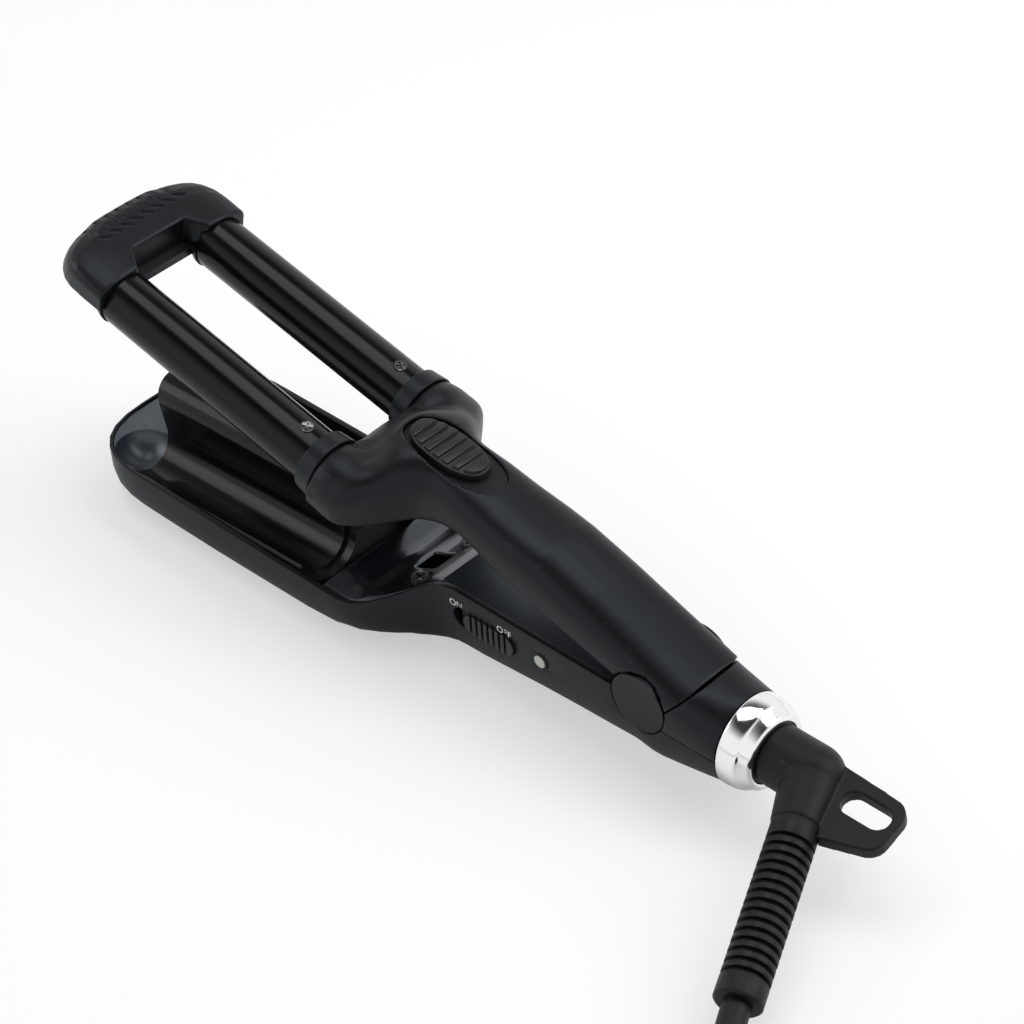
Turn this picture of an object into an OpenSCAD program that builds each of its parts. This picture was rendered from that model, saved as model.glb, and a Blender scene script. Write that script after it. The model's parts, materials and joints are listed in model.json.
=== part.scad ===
// Hair waver: two heated barrels on a sprung upper arm close into a wave plate on the lower arm.
// +X points to the tip, +Y to the switch side, +Z up. The origin is the middle of the flat
// underside of the head, on the resting plane. The upper arm is drawn open, against its stop.

/* [Hinge] */
// Distance from the hinge axis to the middle of the rest face
rest_x = 150; // [140:1:156]
// Height of the hinge axis above the resting plane
hinge_z = 27.6; // [27:0.2:28.6]
// Angle of the barrels above level when the arm is open
open_angle = 13.2; // [12:0.2:15]
// Angle of the barrels below level when the arm is closed
close_angle = 1.8; // [1.6:0.1:2]
// Diameter of the hinge pin
pin_d = 4; // [3:0.2:5]
// Diameter of the round pivot caps
cap_d = 17.6; // [16:0.2:18]

/* [Lower arm] */
// Width of the handle
handle_w = 26.8; // [26.4:0.2:28]
// Width of the head that holds the wave plate
head_w = 56; // [55:0.5:58]
// Distance from the hinge axis to the tip of the head
head_tip = 205.4; // [203:0.2:212]
// Height of the casing rim around the head
head_rim = 17.3; // [16.9:0.1:17.6]
// Height of the casing rim along the handle
handle_rim = 28.9; // [28.5:0.1:29.2]
// Wall of the casings
wall = 1.8; // [1.5:0.1:2]

/* [Wave plate] */
// Distance from the hinge axis to the rear end of the wave plate
plate_start = 110; // [109.6:0.2:114]
// Distance from the hinge axis to the tip end of the wave plate
plate_end = 183; // [178:0.5:184]
// Angle of the wave plate's channels below level
plate_angle = 2.5; // [2.3:0.1:2.8]
// Thickness of the wave plate
plate_t = 1.6; // [1.2:0.1:2]
// Width of the channels beyond the barrels, on each side
hair_gap = 0.9; // [0.7:0.1:1.1]
// Height of the ridge above the axes of the channels
ridge_h = 14.6; // [12:0.2:15.4]

/* [Barrels] */
// Diameter of each barrel
barrel_d = 16; // [15:0.2:16.4]
// Wall of each barrel
barrel_wall = 1.4; // [1:0.1:1.8]
// Distance between the two barrel axes
barrel_pitch = 35.2; // [34.8:0.2:35.8]
// Distance from the hinge axis to the collars
collar_t = 107.6; // [107:0.1:108]
// Length of each collar
collar_len = 5.4; // [4:0.2:5.6]
// Distance from the hinge axis to the closed end of the tip cap sockets
socket_t = 193; // [192.6:0.2:194]

/* [Upper arm] */
// Height of the handle top above the barrel axes
arm_top = 18.3; // [17.8:0.1:18.8]
// Radius of the two bulbs behind the collars
bulb_r = 10.8; // [10.4:0.1:11]
// Gap at the seams between casings
seam_gap = 0.4; // [0.3:0.05:0.5]
// Length of the tip cap
tip_len = 26; // [24:0.5:28]

/* [Controls] */
// Distance from the hinge axis to the middle of the switch slot
switch_x = 55.2; // [52:0.2:57]
// Length of the switch button
switch_len = 18.4; // [16:0.2:19]
// Height of the switch button
switch_h = 6.4; // [5.4:0.2:7]
// Travel of the switch button
switch_travel = 4; // [3:0.2:4.4]
// Distance from the hinge axis to the light
light_x = 34.6; // [32:0.2:37]
// Diameter of the light lens
light_d = 4.4; // [3.4:0.2:5]
// Distance from the hinge axis to the middle of the lock button
lock_t = 83.2; // [82:0.2:84]
// Length of the lock button
lock_len = 29; // [26:0.5:30]
// Width of the lock button
lock_w = 13.6; // [12:0.2:14]
// Travel of the lock button
lock_travel = 4; // [3:0.2:4.4]

/* [Cord outlet] */
// Outer diameter of the rear ring
ring_d = 26.2; // [26:0.1:26.6]
// Length of the rear ring
ring_len = 9.4; // [8.4:0.2:10]
// Diameter of the swivel stub
stub_d = 16.8; // [15:0.2:17]
// Distance from the hinge axis to the elbow
elbow_x = 47.1; // [45.5:0.1:48]
// Thickness of the hanging tab
tab_t = 4; // [3:0.5:5]
// Length of the slot in the hanging tab
slot_len = 14.5; // [12:0.5:15]
// Width of the slot in the hanging tab
slot_w = 7; // [5:0.2:7.4]
// Diameter of the strain relief
relief_d = 12.7; // [12:0.1:13.4]
// Number of grooves around the strain relief
relief_grooves = 15; // [12:1:16]
// Diameter of the cord
cord_d = 7.6; // [7:0.1:8]

/* [Hidden] */
$fn = 48;

// Clearances
fit = 0.05;
rub = 0.3;
cut = 0.5;

// Places along the lower arm, from the hinge axis
ring_x = -25.5;
cover_z = 22.6;
ring_z = 22.4;
neck_start = 72;
flare_start = 70;
head_start = 98;
nose_start = head_tip - 29;
nose_power = 3;
head_half = head_w / 2;
handle_half = handle_w / 2;

// Places along the upper arm, measured along the barrels from the hinge axis
barrel_r = barrel_d / 2;
barrel_y = barrel_pitch / 2;
collar_r = barrel_r + 1.9;
collar_front = collar_t + collar_len;
spigot_r = barrel_r - barrel_wall - fit;
spigot_tail = 9;
screw_t = collar_front + 5.7;
tip_start = 191.5;
tip_front = tip_start + tip_len - 0.5;
tip_half = barrel_y + barrel_r + 1.4;
yoke_half = barrel_y + bulb_r;
channel_r = barrel_r + hair_gap;
ridge_half = barrel_y - channel_r;
lock_pitch = 6;
lock_n = 17.2;
lock_base = -1.8;
lock_top = 1.3;

// Seam between the upper casing and the rear cover: a plane that leans back with height
seam_x0 = -8.4;
seam_z0 = 0.9;
seam_lean = 0.907;
seam_span = cos(open_angle) + seam_lean * sin(open_angle);
seam_t = (seam_x0 + seam_lean * seam_z0) / seam_span;
seam_slope = (sin(open_angle) - seam_lean * cos(open_angle)) / seam_span;

// Hinge, counted out from the middle
lug_r = 7.4;
inner_lug_y = 4.2;
inner_lug_t = 2.8;
outer_lug_y = 7.3;
outer_lug_t = 3.3;
pin_len = 23;
cap_t = 2;

function smooth(a, b, x) = let (s = max(0, min(1, (x - a) / (b - a)))) s * s * (3 - 2 * s);
function mix(a, b, s) = a + (b - a) * s;
function along(table, x) = lookup(x, table);
function arc(cx, cy, r, a0, a1, n) = [for (i = [0:n]) [cx + r * cos(mix(a0, a1, i / n)),
  cy + r * sin(mix(a0, a1, i / n))]];
function power(v, e) = sign(v) * pow(abs(v), e);
function unit(v) = v / norm(v);
function reversed(list) = [for (i = [len(list) - 1:-1:0]) list[i]];

// Frames: the lower arm counted from the hinge axis, the upper arm as it stands open,
// and the wave plate's channels
module lower_arm() {
  translate([-rest_x, 0, 0]) children();
}
module upper_arm() {
  lower_arm() translate([0, 0, hinge_z]) rotate([0, -open_angle, 0]) children();
}
module channel_axes() {
  lower_arm() translate([0, 0, hinge_z]) rotate([0, plate_angle, 0]) children();
}
module across(y0, y1, r) {
  translate([0, y1, 0]) rotate([90, 0, 0]) cylinder(h = y1 - y0, r = r);
}
module lengthways(x0, x1, r) {
  translate([x0, 0, 0]) rotate([0, 90, 0]) cylinder(h = x1 - x0, r = r);
}
module both_sides() {
  children();
  mirror([0, 1, 0]) children();
}
// Spun about the X axis from a profile of [x, r] points
module turned(profile) {
  rotate([0, 90, 0]) rotate_extrude() polygon([for (p = profile) [p[1], p[0]]]);
}

// Triangles that fill a ring of n points, in strips from one side of it to the other
function ring_fill(n) = [for (j = [0:ceil(n / 2) - 2]) each concat([[j, j + 1, n - 1 - j]],
  j + 1 == n - 2 - j ? [] : [[j + 1, n - 2 - j, n - 1 - j]])];
function moved_faces(faces, by) = [for (f = faces) [for (k = f) k + by]];
function turned_faces(faces) = [for (f = faces) reversed(f)];

// Closed solid through rings of points
module loft(rings) {
  n = len(rings[0]);
  last = len(rings) - 1;
  sides = [for (i = [0:last - 1]) for (j = [0:n - 1]) let (k = (j + 1) % n)
    each [[i * n + j, i * n + k, (i + 1) * n + k], [i * n + j, (i + 1) * n + k, (i + 1) * n + j]]];
  polyhedron([for (ring = rings) each ring],
    concat(sides, turned_faces(ring_fill(n)), moved_faces(ring_fill(n), last * n)));
}
// Ring at x of a curved plate, from its lower and its upper edge: lists of [y, z] from +y to -y
function plate_ring(x, low, high) = [for (p = concat(low, reversed(high))) [x, p[0], p[1]]];
// Tray with a closed front: an outer and an inner sheet of stations, joined along their rims
module tray(outer, inner) {
  last = len(outer) - 1;
  end = len(outer[0]) - 1;
  all = [for (row = concat(outer, inner)) each row];
  function o(i, j) = i * (end + 1) + j;
  function u(i, j) = (last + 1 + i) * (end + 1) + j;
  walls = [for (i = [0:last - 1]) for (j = [0:end - 1]) each [
    [o(i, j), o(i, j + 1), o(i + 1, j + 1)], [o(i, j), o(i + 1, j + 1), o(i + 1, j)],
    [u(i, j), u(i + 1, j + 1), u(i, j + 1)], [u(i, j), u(i + 1, j), u(i + 1, j + 1)]]];
  rims = [for (i = [0:last - 1]) each [
    [o(i, 0), o(i + 1, 0), u(i + 1, 0)], [o(i, 0), u(i + 1, 0), u(i, 0)],
    [o(i, end), u(i, end), u(i + 1, end)], [o(i, end), u(i + 1, end), o(i + 1, end)]]];
  front = concat(moved_faces(ring_fill(end + 1), o(last, 0)),
    turned_faces(moved_faces(ring_fill(end + 1), u(last, 0))),
    [[o(last, 0), o(last, end), u(last, end)], [o(last, 0), u(last, end), u(last, 0)]]);
  rear = [for (j = [0:end - 1]) each [[o(0, j + 1), o(0, j), u(0, j)],
    [o(0, j + 1), u(0, j), u(0, j + 1)]]];
  polyhedron(all, concat(walls, rims, front, rear));
}
// Round tube along a route that never stands upright
function tube_ring(route, i, r, sides) =
  let (last = len(route) - 1)
  let (way = unit(route[min(i + 1, last)] - route[max(i - 1, 0)]))
  let (side = unit(cross([0, 0, 1], way)), rise = cross(way, side))
  [for (j = [0:sides - 1]) route[i] + r * (cos(-j * 360 / sides) * side + sin(-j * 360 / sides) * rise)];
module tube(route, r, sides) {
  loft([for (i = [0:len(route) - 1]) tube_ring(route, i, r, sides)]);
}

// ---- Lower casing ----
function low_half(x) =
  x > nose_start ? head_half * pow(1 - pow((x - nose_start) / (head_tip - nose_start + 0.02), nose_power),
    1 / nose_power)
  : x < 0 ? mix(handle_half, 13, smooth(0, ring_x, x))
  : mix(handle_half, head_half, smooth(flare_start, head_start, x));
function low_rim(x) =
  x <= 4 ? mix(cover_z, handle_rim, smooth(-4, 4, x)) : mix(handle_rim, head_rim, smooth(66, 94, x));
function low_bottom(x) =
  along([[ring_x, 9.4], [-12, 8.4], [0, 7.5], [18, 6.4], [32, 5.7], [46, 4.3], [59, 2.9], [68, 2.6],
    [76, 1.4], [84, 0.9], [90, 0.7], [head_start, 0], [head_tip - 12, 0], [head_tip - 7, 0.6],
    [head_tip - 3, 2], [head_tip, 5]], x);
function low_power(x) = along([[ring_x, 2], [-6, 3], [head_start, 3], [105, 4], [154, 4.6],
  [head_tip, 4.2]], x);
function low_section(x, at, inset, steps) =
  let (w = low_half(x) - inset, r = low_rim(x), b = low_bottom(x) + inset, e = 2 / low_power(x))
  [for (j = [0:steps]) let (a = 180 * j / steps) [at, w * power(cos(a), e),
    r - (r - b) * power(sin(a), e)]];
nose_wall = 0.8;
function low_wall(x) = mix(wall, nose_wall, smooth(nose_start - 2, nose_start + 12, x));
low_x = concat([ring_x, -18, -11, -6, -4, -2, 0, 2, 4, 12, 24, 38, 50, 60, 66],
  [for (x = [70:4:102]) x], [112, 130, 150, 165, nose_start - 4],
  [for (s = [0:8]) nose_start + (head_tip - nose_start) * sin(90 * s / 8)]);
// The inner sheet is drawn in at the nose, so that the wall there keeps its thickness
nose_scale = (head_tip - nose_wall - nose_start) / (head_tip - nose_start);
function inner_x(x) = x < nose_start ? x : nose_start + (x - nose_start) * nose_scale;
function inner_half(at) = let (x = at < nose_start ? at : nose_start + (at - nose_start) / nose_scale)
  low_half(x) - low_wall(x);
module lower_shell() {
  tray([for (x = low_x) low_section(x, x, 0, 20)],
    [for (x = low_x) low_section(x, inner_x(x), low_wall(x), 20)]);
}
screw_post_x = [120, 178];
screw_post_y = 17;
module lower_casing() {
  color("#1d1f22") lower_arm() difference() {
    lower_shell();
    translate([0, 0, hinge_z]) across(-20, 20, cap_d / 2 + seam_gap);
    translate([switch_x, 0, switch_z]) across_slot(handle_half - 4, 20, switch_gap_len, switch_h + 2 * rub);
    translate([light_x, 0, light_z]) across(handle_half - 4, 20, light_d / 2 + 0.4);
    for (x = screw_post_x) both_sides() 
      translate([x, screw_post_y, -cut]) cylinder(h = wall + 3 * cut, r = casing_screw_r + fit);
  }
}

// ---- Switch and light ----
switch_z = 20.2;
switch_gap_len = switch_len + switch_travel + 2 * rub;
light_z = 21.6;
board_z = 14;
board_t = 1.6;
casing_screw_r = 1.3;
switch_back = 10.6;
module across_slot(y0, y1, length, height) {
  reach = (length - height) / 2;
  for (side = [-1, 1]) translate([side * reach, 0, 0]) across(y0, y1, height / 2);
  translate([-reach, y0, -height / 2]) cube([2 * reach, y1 - y0, height]);
}
module switch_button() {
  ribs = 6;
  color("#17181a") lower_arm() translate([switch_x - switch_travel / 2, 0, switch_z]) difference() {
    union() {
      across_slot(switch_back + rub, handle_half + 0.5, switch_len, switch_h);
      translate([-3, switch_back - 2.5, -1]) cube([6, 3.2, 2]);
    }
    for (i = [0:ribs]) translate([(i - ribs / 2) * 2.1 - 0.45, handle_half - 0.3, -switch_h])
      cube([0.9, 2, 2 * switch_h]);
  }
}
module switch_body() {
  deep = 6.4;
  color("#3b3d40") lower_arm() difference() {
    translate([switch_x - 11, switch_back - deep, board_z + board_t]) cube([22, deep, 9.4]);
    translate([switch_x - 5 - switch_travel / 2, switch_back - 3, switch_z - 1.4])
      cube([10 + switch_travel, 4, 2.8]);
  }
}
module light_body() {
  color("#e8e8e2") lower_arm() {
    translate([light_x, 0, light_z]) across(6.4, handle_half - 2.4, 1.5);
    for (side = [-1, 1]) translate([light_x + side * 0.9 - 0.25, 6.5, board_z + board_t])
      cube([0.5, 0.5, light_z - board_z - board_t]);
  }
}
module light_lens() {
  color("#f2f2ec") lower_arm() translate([light_x, 0, light_z]) difference() {
    union() {
      across(handle_half - 2.2, handle_half + 0.1, light_d / 2);
      across(handle_half - 3.4, handle_half - 2.2, light_d / 2 + 0.2);
    }
    across(handle_half - 4, handle_half - 2.3, 1.6);
  }
}
module circuit_board() {
  half = handle_half - wall - 2.1;
  color("#1f5a3a") lower_arm() {
    translate([18, -half, board_z]) cube([50, 2 * half, board_t]);
    translate([24, -half + 3, board_z + board_t]) cube([9, 7, 5]);
    translate([50, -half + 2, board_z + board_t]) cube([12, 8, 3.4]);
    translate([40, -half + 6, board_z + board_t]) cylinder(h = 6.5, r = 3.2);
  }
}

// ---- Wave plate and what it sits in ----
lip_angle = 24;
function plate_side(inset) =
  let (r = channel_r + inset, half = ridge_half - inset, shoulder = 7.4, crest = ridge_h - inset - shoulder)
  concat(arc(barrel_y, 0, r, -lip_angle, -180, 14),
    [for (i = [0:7]) let (a = 11.25 * i) [half * pow(cos(a), 0.8), shoulder + crest * sin(a)]]);
// The ridge alone, a little slimmer, with straight sides below the axes of the channels
function ridge_outline() =
  let (side = concat([[ridge_half - 2 * fit, -6]], [for (p = plate_side(2 * fit)) if (p[0] < ridge_half) p]))
  concat(side, [[0, ridge_h]], [for (p = reversed(side)) [-p[0], p[1]]]);
function plate_outline(inset) =
  let (side = plate_side(inset))
  concat(side, [[0, ridge_h - inset]], [for (p = reversed(side)) [-p[0], p[1]]]);
module profile_along(x0, x1, outline) {
  translate([x0, 0, 0]) rotate([90, 0, 90]) linear_extrude(height = x1 - x0) polygon(outline);
}
plate_lean = 11;
// Leaning slab behind the tip end of the plate
module past_plate_end(gap, thick) {
  translate([plate_end + gap, -40, -channel_r]) rotate([0, plate_lean, 0]) translate([0, 0, -20])
    cube([thick, 80, 60]);
}
module wave_plate() {
  color("#0c0d0f") channel_axes() difference() {
    profile_along(plate_start, plate_end + 8, concat(plate_outline(0), reversed(plate_outline(plate_t))));
    past_plate_end(0, 40);
    both_sides() {
      translate([0, barrel_y, 0]) lengthways(plate_start - 1, collar_front + 0.6, collar_r + 2 * fit);
      translate([plate_start - 1, barrel_y - collar_r - 2 * fit, 0])
        cube([collar_front + 1.6 - plate_start, 20, 20]);
      translate([plate_start - 1, head_half - wall - 2 * fit, -20]) cube([plate_end, 10, 40]);
    }
  }
}
// Saddles that hold the wave plate, on two rails along the floor of the head
saddle_x = [116, 145, 174];
saddle_t = 4;
rail_z = wall + rub;
heater_w = 9;
heater_t = 2.6;
heater_span = 50;
rail_h = 4;
fuse_x = 159;
fuse_len = 12;
fuse_r = 1.8;
module plate_carrier() {
  under = plate_t + 0.1;
  saddle = concat(plate_outline(under), [[-barrel_y - 7, -30], [barrel_y + 7, -30]]);
  room = low_section(saddle_x[0], 0, wall + rub, 24);
  color("#4a4b4d") difference() {
    intersection() {
      union() {
        for (x = saddle_x) channel_axes() profile_along(x - saddle_t / 2, x + saddle_t / 2, saddle);
        lower_arm() for (side = [-1, 1]) translate([saddle_x[0] - saddle_t / 2, side * 9 - 1.5, rail_z])
          cube([saddle_x[2] - saddle_x[0] + saddle_t, 3, rail_h]);
        lower_arm() for (x = screw_post_x) both_sides() translate([x, screw_post_y, rail_z])
          cylinder(h = 4.6, r = 3.4);
      }
      lower_arm() profile_along(saddle_x[0] - 10, saddle_x[2] + 10,
        concat([for (p = reversed(room)) [p[1], p[2]]],
          [[head_half - wall - rub, 40], [-head_half + wall + rub, 40]]));
    }
    both_sides() channel_axes() translate([saddle_x[0] - 10, barrel_y - heater_w / 2 - rub,
      -channel_r - under - heater_t - rub])
      cube([80, heater_w + 2 * rub, heater_t + 4]);
    lower_arm() for (x = screw_post_x) both_sides() translate([x, screw_post_y, 0])
      cylinder(h = 6, r = casing_screw_r + fit);
    channel_axes() translate([saddle_x[0] - 10, -ridge_half + 2.6, -5])
      cube([80, 2 * ridge_half - 5.2, 14]);
  }
}
module plate_heaters() {
  color("#d8d4c8") both_sides() channel_axes()
    translate([saddle_x[1] - heater_span / 2, barrel_y - heater_w / 2,
      -channel_r - plate_t - 0.1 - heater_t])
    cube([heater_span, heater_w, heater_t]);
}
module heater_clamp() {
  spring_t = 0.8;
  color("#b8babc") both_sides() channel_axes() {
    translate([saddle_x[1] + 4, barrel_y - heater_w / 2,
      -channel_r - plate_t - 0.1 - heater_t - spring_t]) cube([18, heater_w, spring_t]);
    translate([saddle_x[1] - 22, barrel_y - heater_w / 2,
      -channel_r - plate_t - 0.1 - heater_t - spring_t]) cube([18, heater_w, spring_t]);
  }
}
module thermal_fuse() {
  color("#c9ccd0") lower_arm() {
    translate([0, 9, rail_z + rail_h + fuse_r]) lengthways(fuse_x - fuse_len / 2, fuse_x + fuse_len / 2,
      fuse_r);
  }
}
module casing_screws() {
  color("#8c8f93") lower_arm() for (x = screw_post_x) both_sides() translate([x, screw_post_y, 0])
    difference() {
    union() {
      cylinder(h = 6, r = casing_screw_r);
      translate([0, 0, 0.2]) cylinder(h = 1.4, r = casing_screw_r);
    }
    for (turn = [0, 90]) rotate(turn) translate([-0.9, -0.2, -cut]) cube([1.8, 0.4, cut + 0.6]);
  }
}

// ---- Neck and tip of the lower arm ----
function neck_top(x) = along([[neck_start, low_rim(neck_start) - 1.2], [76, low_rim(76) - 0.6],
  [80, low_rim(80) - 0.4], [84, low_rim(84) - 0.4], [88, low_rim(88) - 0.5], [92, 16.9], [95, 15.2],
  [98, 14], [101, 13.6], [plate_start, 13.4]], x);
neck_x = concat([for (x = [neck_start + rub:3:91]) x], [93, 95.5, 98, 101, 104.5, plate_start - 3 * rub]);
neck_screw_x = 83;
neck_screw_y = 9.6;
hook_slot_x0 = 82.6;
hook_slot_x1 = 90.7;
hook_slot_y = 3.7;
module neck_cover() {
  thick = 1.6;
  k = [1, 0.9, 0.6, 0, -0.6, -0.9, -1];
  drop = [1.6, 0.3, 0, 0, 0, 0.3, 1.6];
  color("#101113") lower_arm() difference() {
    loft([for (x = neck_x) let (w = low_half(x) - wall - 2.5 * rub, z = neck_top(x), low = z - thick)
      plate_ring(x, [for (i = [0:6]) [k[i] * w, low - drop[i]]],
        [for (i = [0:6]) [k[i] * w, z - drop[i]]])]);
    both_sides() translate([neck_screw_x, neck_screw_y, 0]) {
      cylinder(h = 40, r = 1.2 + fit);
      translate([0, 0, neck_top(neck_screw_x)]) cylinder(h = 10, r = 2.9);
    }
    translate([hook_slot_x0, -hook_slot_y, 0]) cube([hook_slot_x1 - hook_slot_x0, 2 * hook_slot_y, 40]);
  }
}
module neck_screws() {
  color("#2a2c2f") lower_arm() both_sides() translate([neck_screw_x, neck_screw_y,
    neck_top(neck_screw_x)]) difference() {
    union() {
      cylinder(h = 1.3, r = 2.5);
      translate([0, 0, -9]) cylinder(h = 9, r = 1.2);
    }
    for (turn = [0, 90]) rotate(turn) translate([-1.4, -0.3, 0.7]) cube([2.8, 0.6, 1]);
  }
}
module inner_panel() {
  half = handle_half - wall - rub;
  start = 11;
  color("#0f1012") lower_arm() {
    translate([start, -half, handle_rim - 2.4]) cube([neck_start - start, 2 * half, 1.6]);
    for (side = [-1, 1]) translate([start + 8, side * (half - 1.4) - 0.6, board_z + board_t + 0.2])
      cube([3, 1.2, handle_rim - 2.4 - board_z - board_t - 0.2]);
  }
}
scoop_end = 189.6;
cover_start = plate_end + 1.2;
module tip_cover() {
  skin = 1.5;
  top_z = head_rim - 0.5;
  half = head_half - wall - rub;
  end = head_tip - nose_wall - 1.5 * rub;
  edge_x = concat([cover_start], [for (i = [1:11]) mix(cover_start, end, sin(90 * i / 12))], [end - 0.15]);
  edge = [for (x = edge_x) [x, inner_half(x) - 1.5 * rub]];
  outline = concat([for (p = edge) [p[0], -p[1]]], reversed(edge));
  color("#34373b") lower_arm() difference() {
    union() {
      translate([0, 0, top_z - skin]) linear_extrude(height = skin) polygon(outline);
      intersection() {
        both_sides() scoop(channel_r + skin);
        translate([0, 0, 4]) linear_extrude(height = top_z - 4) polygon(outline);
      }
      intersection() {
        ridge_end();
        translate([cover_start - 6, -half, 8]) cube([60, 2 * half, 60]);
      }
    }
    both_sides() scoop(channel_r);
  }
}
// Round-ended trough in line with a closed barrel
module scoop(r) {
  translate([0, 0, hinge_z]) rotate([0, plate_angle, 0]) translate([0, barrel_y, 0])
    turned(concat([[cover_start - 8, 0], [cover_start - 8, r]], arc(scoop_end, 0, r, 90, 0, 8)));
}
module ridge_end() {
  thick = 2.2;
  translate([0, 0, hinge_z]) rotate([0, plate_angle, 0]) intersection() {
    profile_along(plate_end - 2, plate_end + 14, ridge_outline());
    past_plate_end(rub, thick);
  }
}

// ---- Rear of the lower arm ----
// Sections of the rear cover, from the round end at the ring to the seam with the upper arm
function seam_x(z) = seam_x0 - seam_lean * (z - hinge_z - seam_z0);
function cover_section(s, inset, steps) =
  [for (j = [0:steps]) let (a = 180 - 180 * j / steps, w = mix(13, handle_half, s) - inset,
    top = mix(ring_z + 13, 36.6, s) - inset)
    let (e = 2 / mix(2, 3, s), z = cover_z + rub + (top - cover_z - rub) * power(sin(a), e))
    [mix(ring_x, seam_x(z), s), w * power(cos(a), e), z]];
module rear_cover() {
  steps = 20;
  rows = [for (i = [0:6]) i / 6];
  color("#1d1f22") lower_arm() difference() {
    loft([for (s = rows) concat(cover_section(s, 0, steps), reversed(cover_section(s, wall, steps)))]);
    translate([0, 0, hinge_z]) across(-20, 20, cap_d / 2 + seam_gap);
  }
}
module rear_ring() {
  bore = stub_d / 2 + 0.5;
  r = ring_d / 2;
  color("#e6e8ea") lower_arm() translate([ring_x - seam_gap / 2, 0, ring_z])
    turned([[0, bore], [0, r - 0.4], [-0.4, r], [-5.4, r - 0.5], [-6.2, r - 1],
      [-ring_len + 0.5, stub_d / 2 + 2.2], [-ring_len, stub_d / 2 + 1.6], [-ring_len, bore]]);
}
neck_r = 6;
bush_front = -20;
module swivel_bush() {
  color("#55585c") lower_arm() translate([0, 0, ring_z])
    turned([[bush_front, neck_r + fit], [bush_front, 11], [ring_x + 0.1, 11],
      [ring_x + 0.1, stub_d / 2 + 0.45], [ring_x - ring_len + 0.4, stub_d / 2 + 0.45],
      [ring_x - ring_len + 0.4, neck_r + fit]]);
}
module lower_bracket() {
  base_z = low_bottom(0) + wall + 1.8;
  color("#6d7074") lower_arm() difference() {
    union() {
      both_sides() {
        translate([0, 0, hinge_z]) across(inner_lug_y, inner_lug_y + inner_lug_t, lug_r);
        translate([-lug_r, inner_lug_y, base_z]) cube([2 * lug_r, inner_lug_t, hinge_z - base_z]);
      }
      translate([-lug_r, -inner_lug_y - inner_lug_t, base_z])
        cube([2 * lug_r, 2 * (inner_lug_y + inner_lug_t), 2]);
    }
    translate([0, 0, hinge_z]) across(-12, 12, pin_d / 2 + 0.01);
  }
}
module hinge_pin() {
  color("#c4c7ca") lower_arm() translate([0, 0, hinge_z]) across(-pin_len / 2, pin_len / 2, pin_d / 2);
}
// Torsion spring round the pin: one leg on the lower bracket, one under the upper bracket
module hinge_spring() {
  wire = 0.6;
  mean = pin_d / 2 + wire + 0.8;
  turns = 3.5;
  width = 2 * inner_lug_y - 2 * wire - 1;
  steps = 12 * turns;
  coil = [for (i = [0:steps]) let (a = 200 + 360 * turns * i / steps)
    [mean * cos(a), -width / 2 + width * i / steps, mean * sin(a)]];
  first = coil[0];
  last = coil[len(coil) - 1];
  route = concat([[5.6, first[1], first[2] - 9], [4.4, first[1], first[2] - 4.4]], coil,
    [[last[0] + 3, last[1], last[2] + 5.4]]);
  color("#aeb1b5") lower_arm() translate([0, 0, hinge_z]) wire_tube(route, wire, 6);
}
function wire_ring(route, i, r, sides) =
  let (last = len(route) - 1)
  let (way = unit(route[min(i + 1, last)] - route[max(i - 1, 0)]))
  let (side = unit(cross([0, 1, 0], way)), rise = cross(way, side))
  [for (j = [0:sides - 1]) route[i] + r * (cos(-j * 360 / sides) * side + sin(-j * 360 / sides) * rise)];
module wire_tube(route, r, sides) {
  loft([for (i = [0:len(route) - 1]) wire_ring(route, i, r, sides)]);
}
module pivot_cap() {
  outer = handle_half - 0.1;
  lower_arm() translate([0, 0, hinge_z]) difference() {
    union() {
      across(outer - cap_t, outer, cap_d / 2);
      across(pin_len / 2 - 0.6, outer - cap_t, 3);
    }
    across(0, pin_len / 2 + 0.1, pin_d / 2 + 0.01);
  }
}
module pivot_cap_near() {
  color("#17181a") pivot_cap();
}
module pivot_cap_far() {
  color("#17181a") mirror([0, 1, 0]) pivot_cap();
}

// ---- Swivel elbow, strain relief and cord ----
elbow_drop = 12.9;
relief_way = [-0.397, 0.918];
relief_turn = atan2(relief_way[1], relief_way[0]);
relief_root = 16;
groove_start = 22;
groove_pitch = 2.79;
relief_end = 67.6;
module swivel() {
  lower_arm() translate([0, 0, ring_z]) rotate([-elbow_drop, 0, 0]) children();
}
module swivel_elbow() {
  r = stub_d / 2;
  back = elbow_x;
  corner = 5;
  slot = [-65.6, 1.8];
  color("#131415") swivel() difference() {
    union() {
      lengthways(-back, ring_x - ring_len - 0.1, r);
      lengthways(ring_x - ring_len - 1, bush_front + 4, neck_r);
      translate([-back, 0, 0]) sphere(r = r);
      translate([-back, 0, 0]) rotate([0, 90, relief_turn])
        cylinder(h = relief_root, r1 = r - 0.2, r2 = relief_d / 2 + 0.3);
      translate([0, 0, -tab_t / 2]) linear_extrude(height = tab_t) hull() {
        translate([-back - 3, 0]) square([4, 12], center = true);
        translate([-70.2, -0.2]) circle(r = corner);
        translate([-70.4, 6.6]) circle(r = corner);
        translate([-60, 12]) circle(r = 3);
      }
    }
    for (side = [-1, 1]) translate([slot[0] + side * (slot_len - slot_w) / 2, slot[1], -10])
      cylinder(h = 20, r = slot_w / 2);
    translate([slot[0] - (slot_len - slot_w) / 2, slot[1] - slot_w / 2, -10])
      cube([slot_len - slot_w, slot_w, 20]);
    lengthways(-back + 2, 0, 3);
    translate([-back, 0, 0]) rotate([0, 90, relief_turn]) translate([0, 0, relief_root])
      cylinder(h = relief_end, r = relief_d / 2 + 0.02);
  }
}
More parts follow.
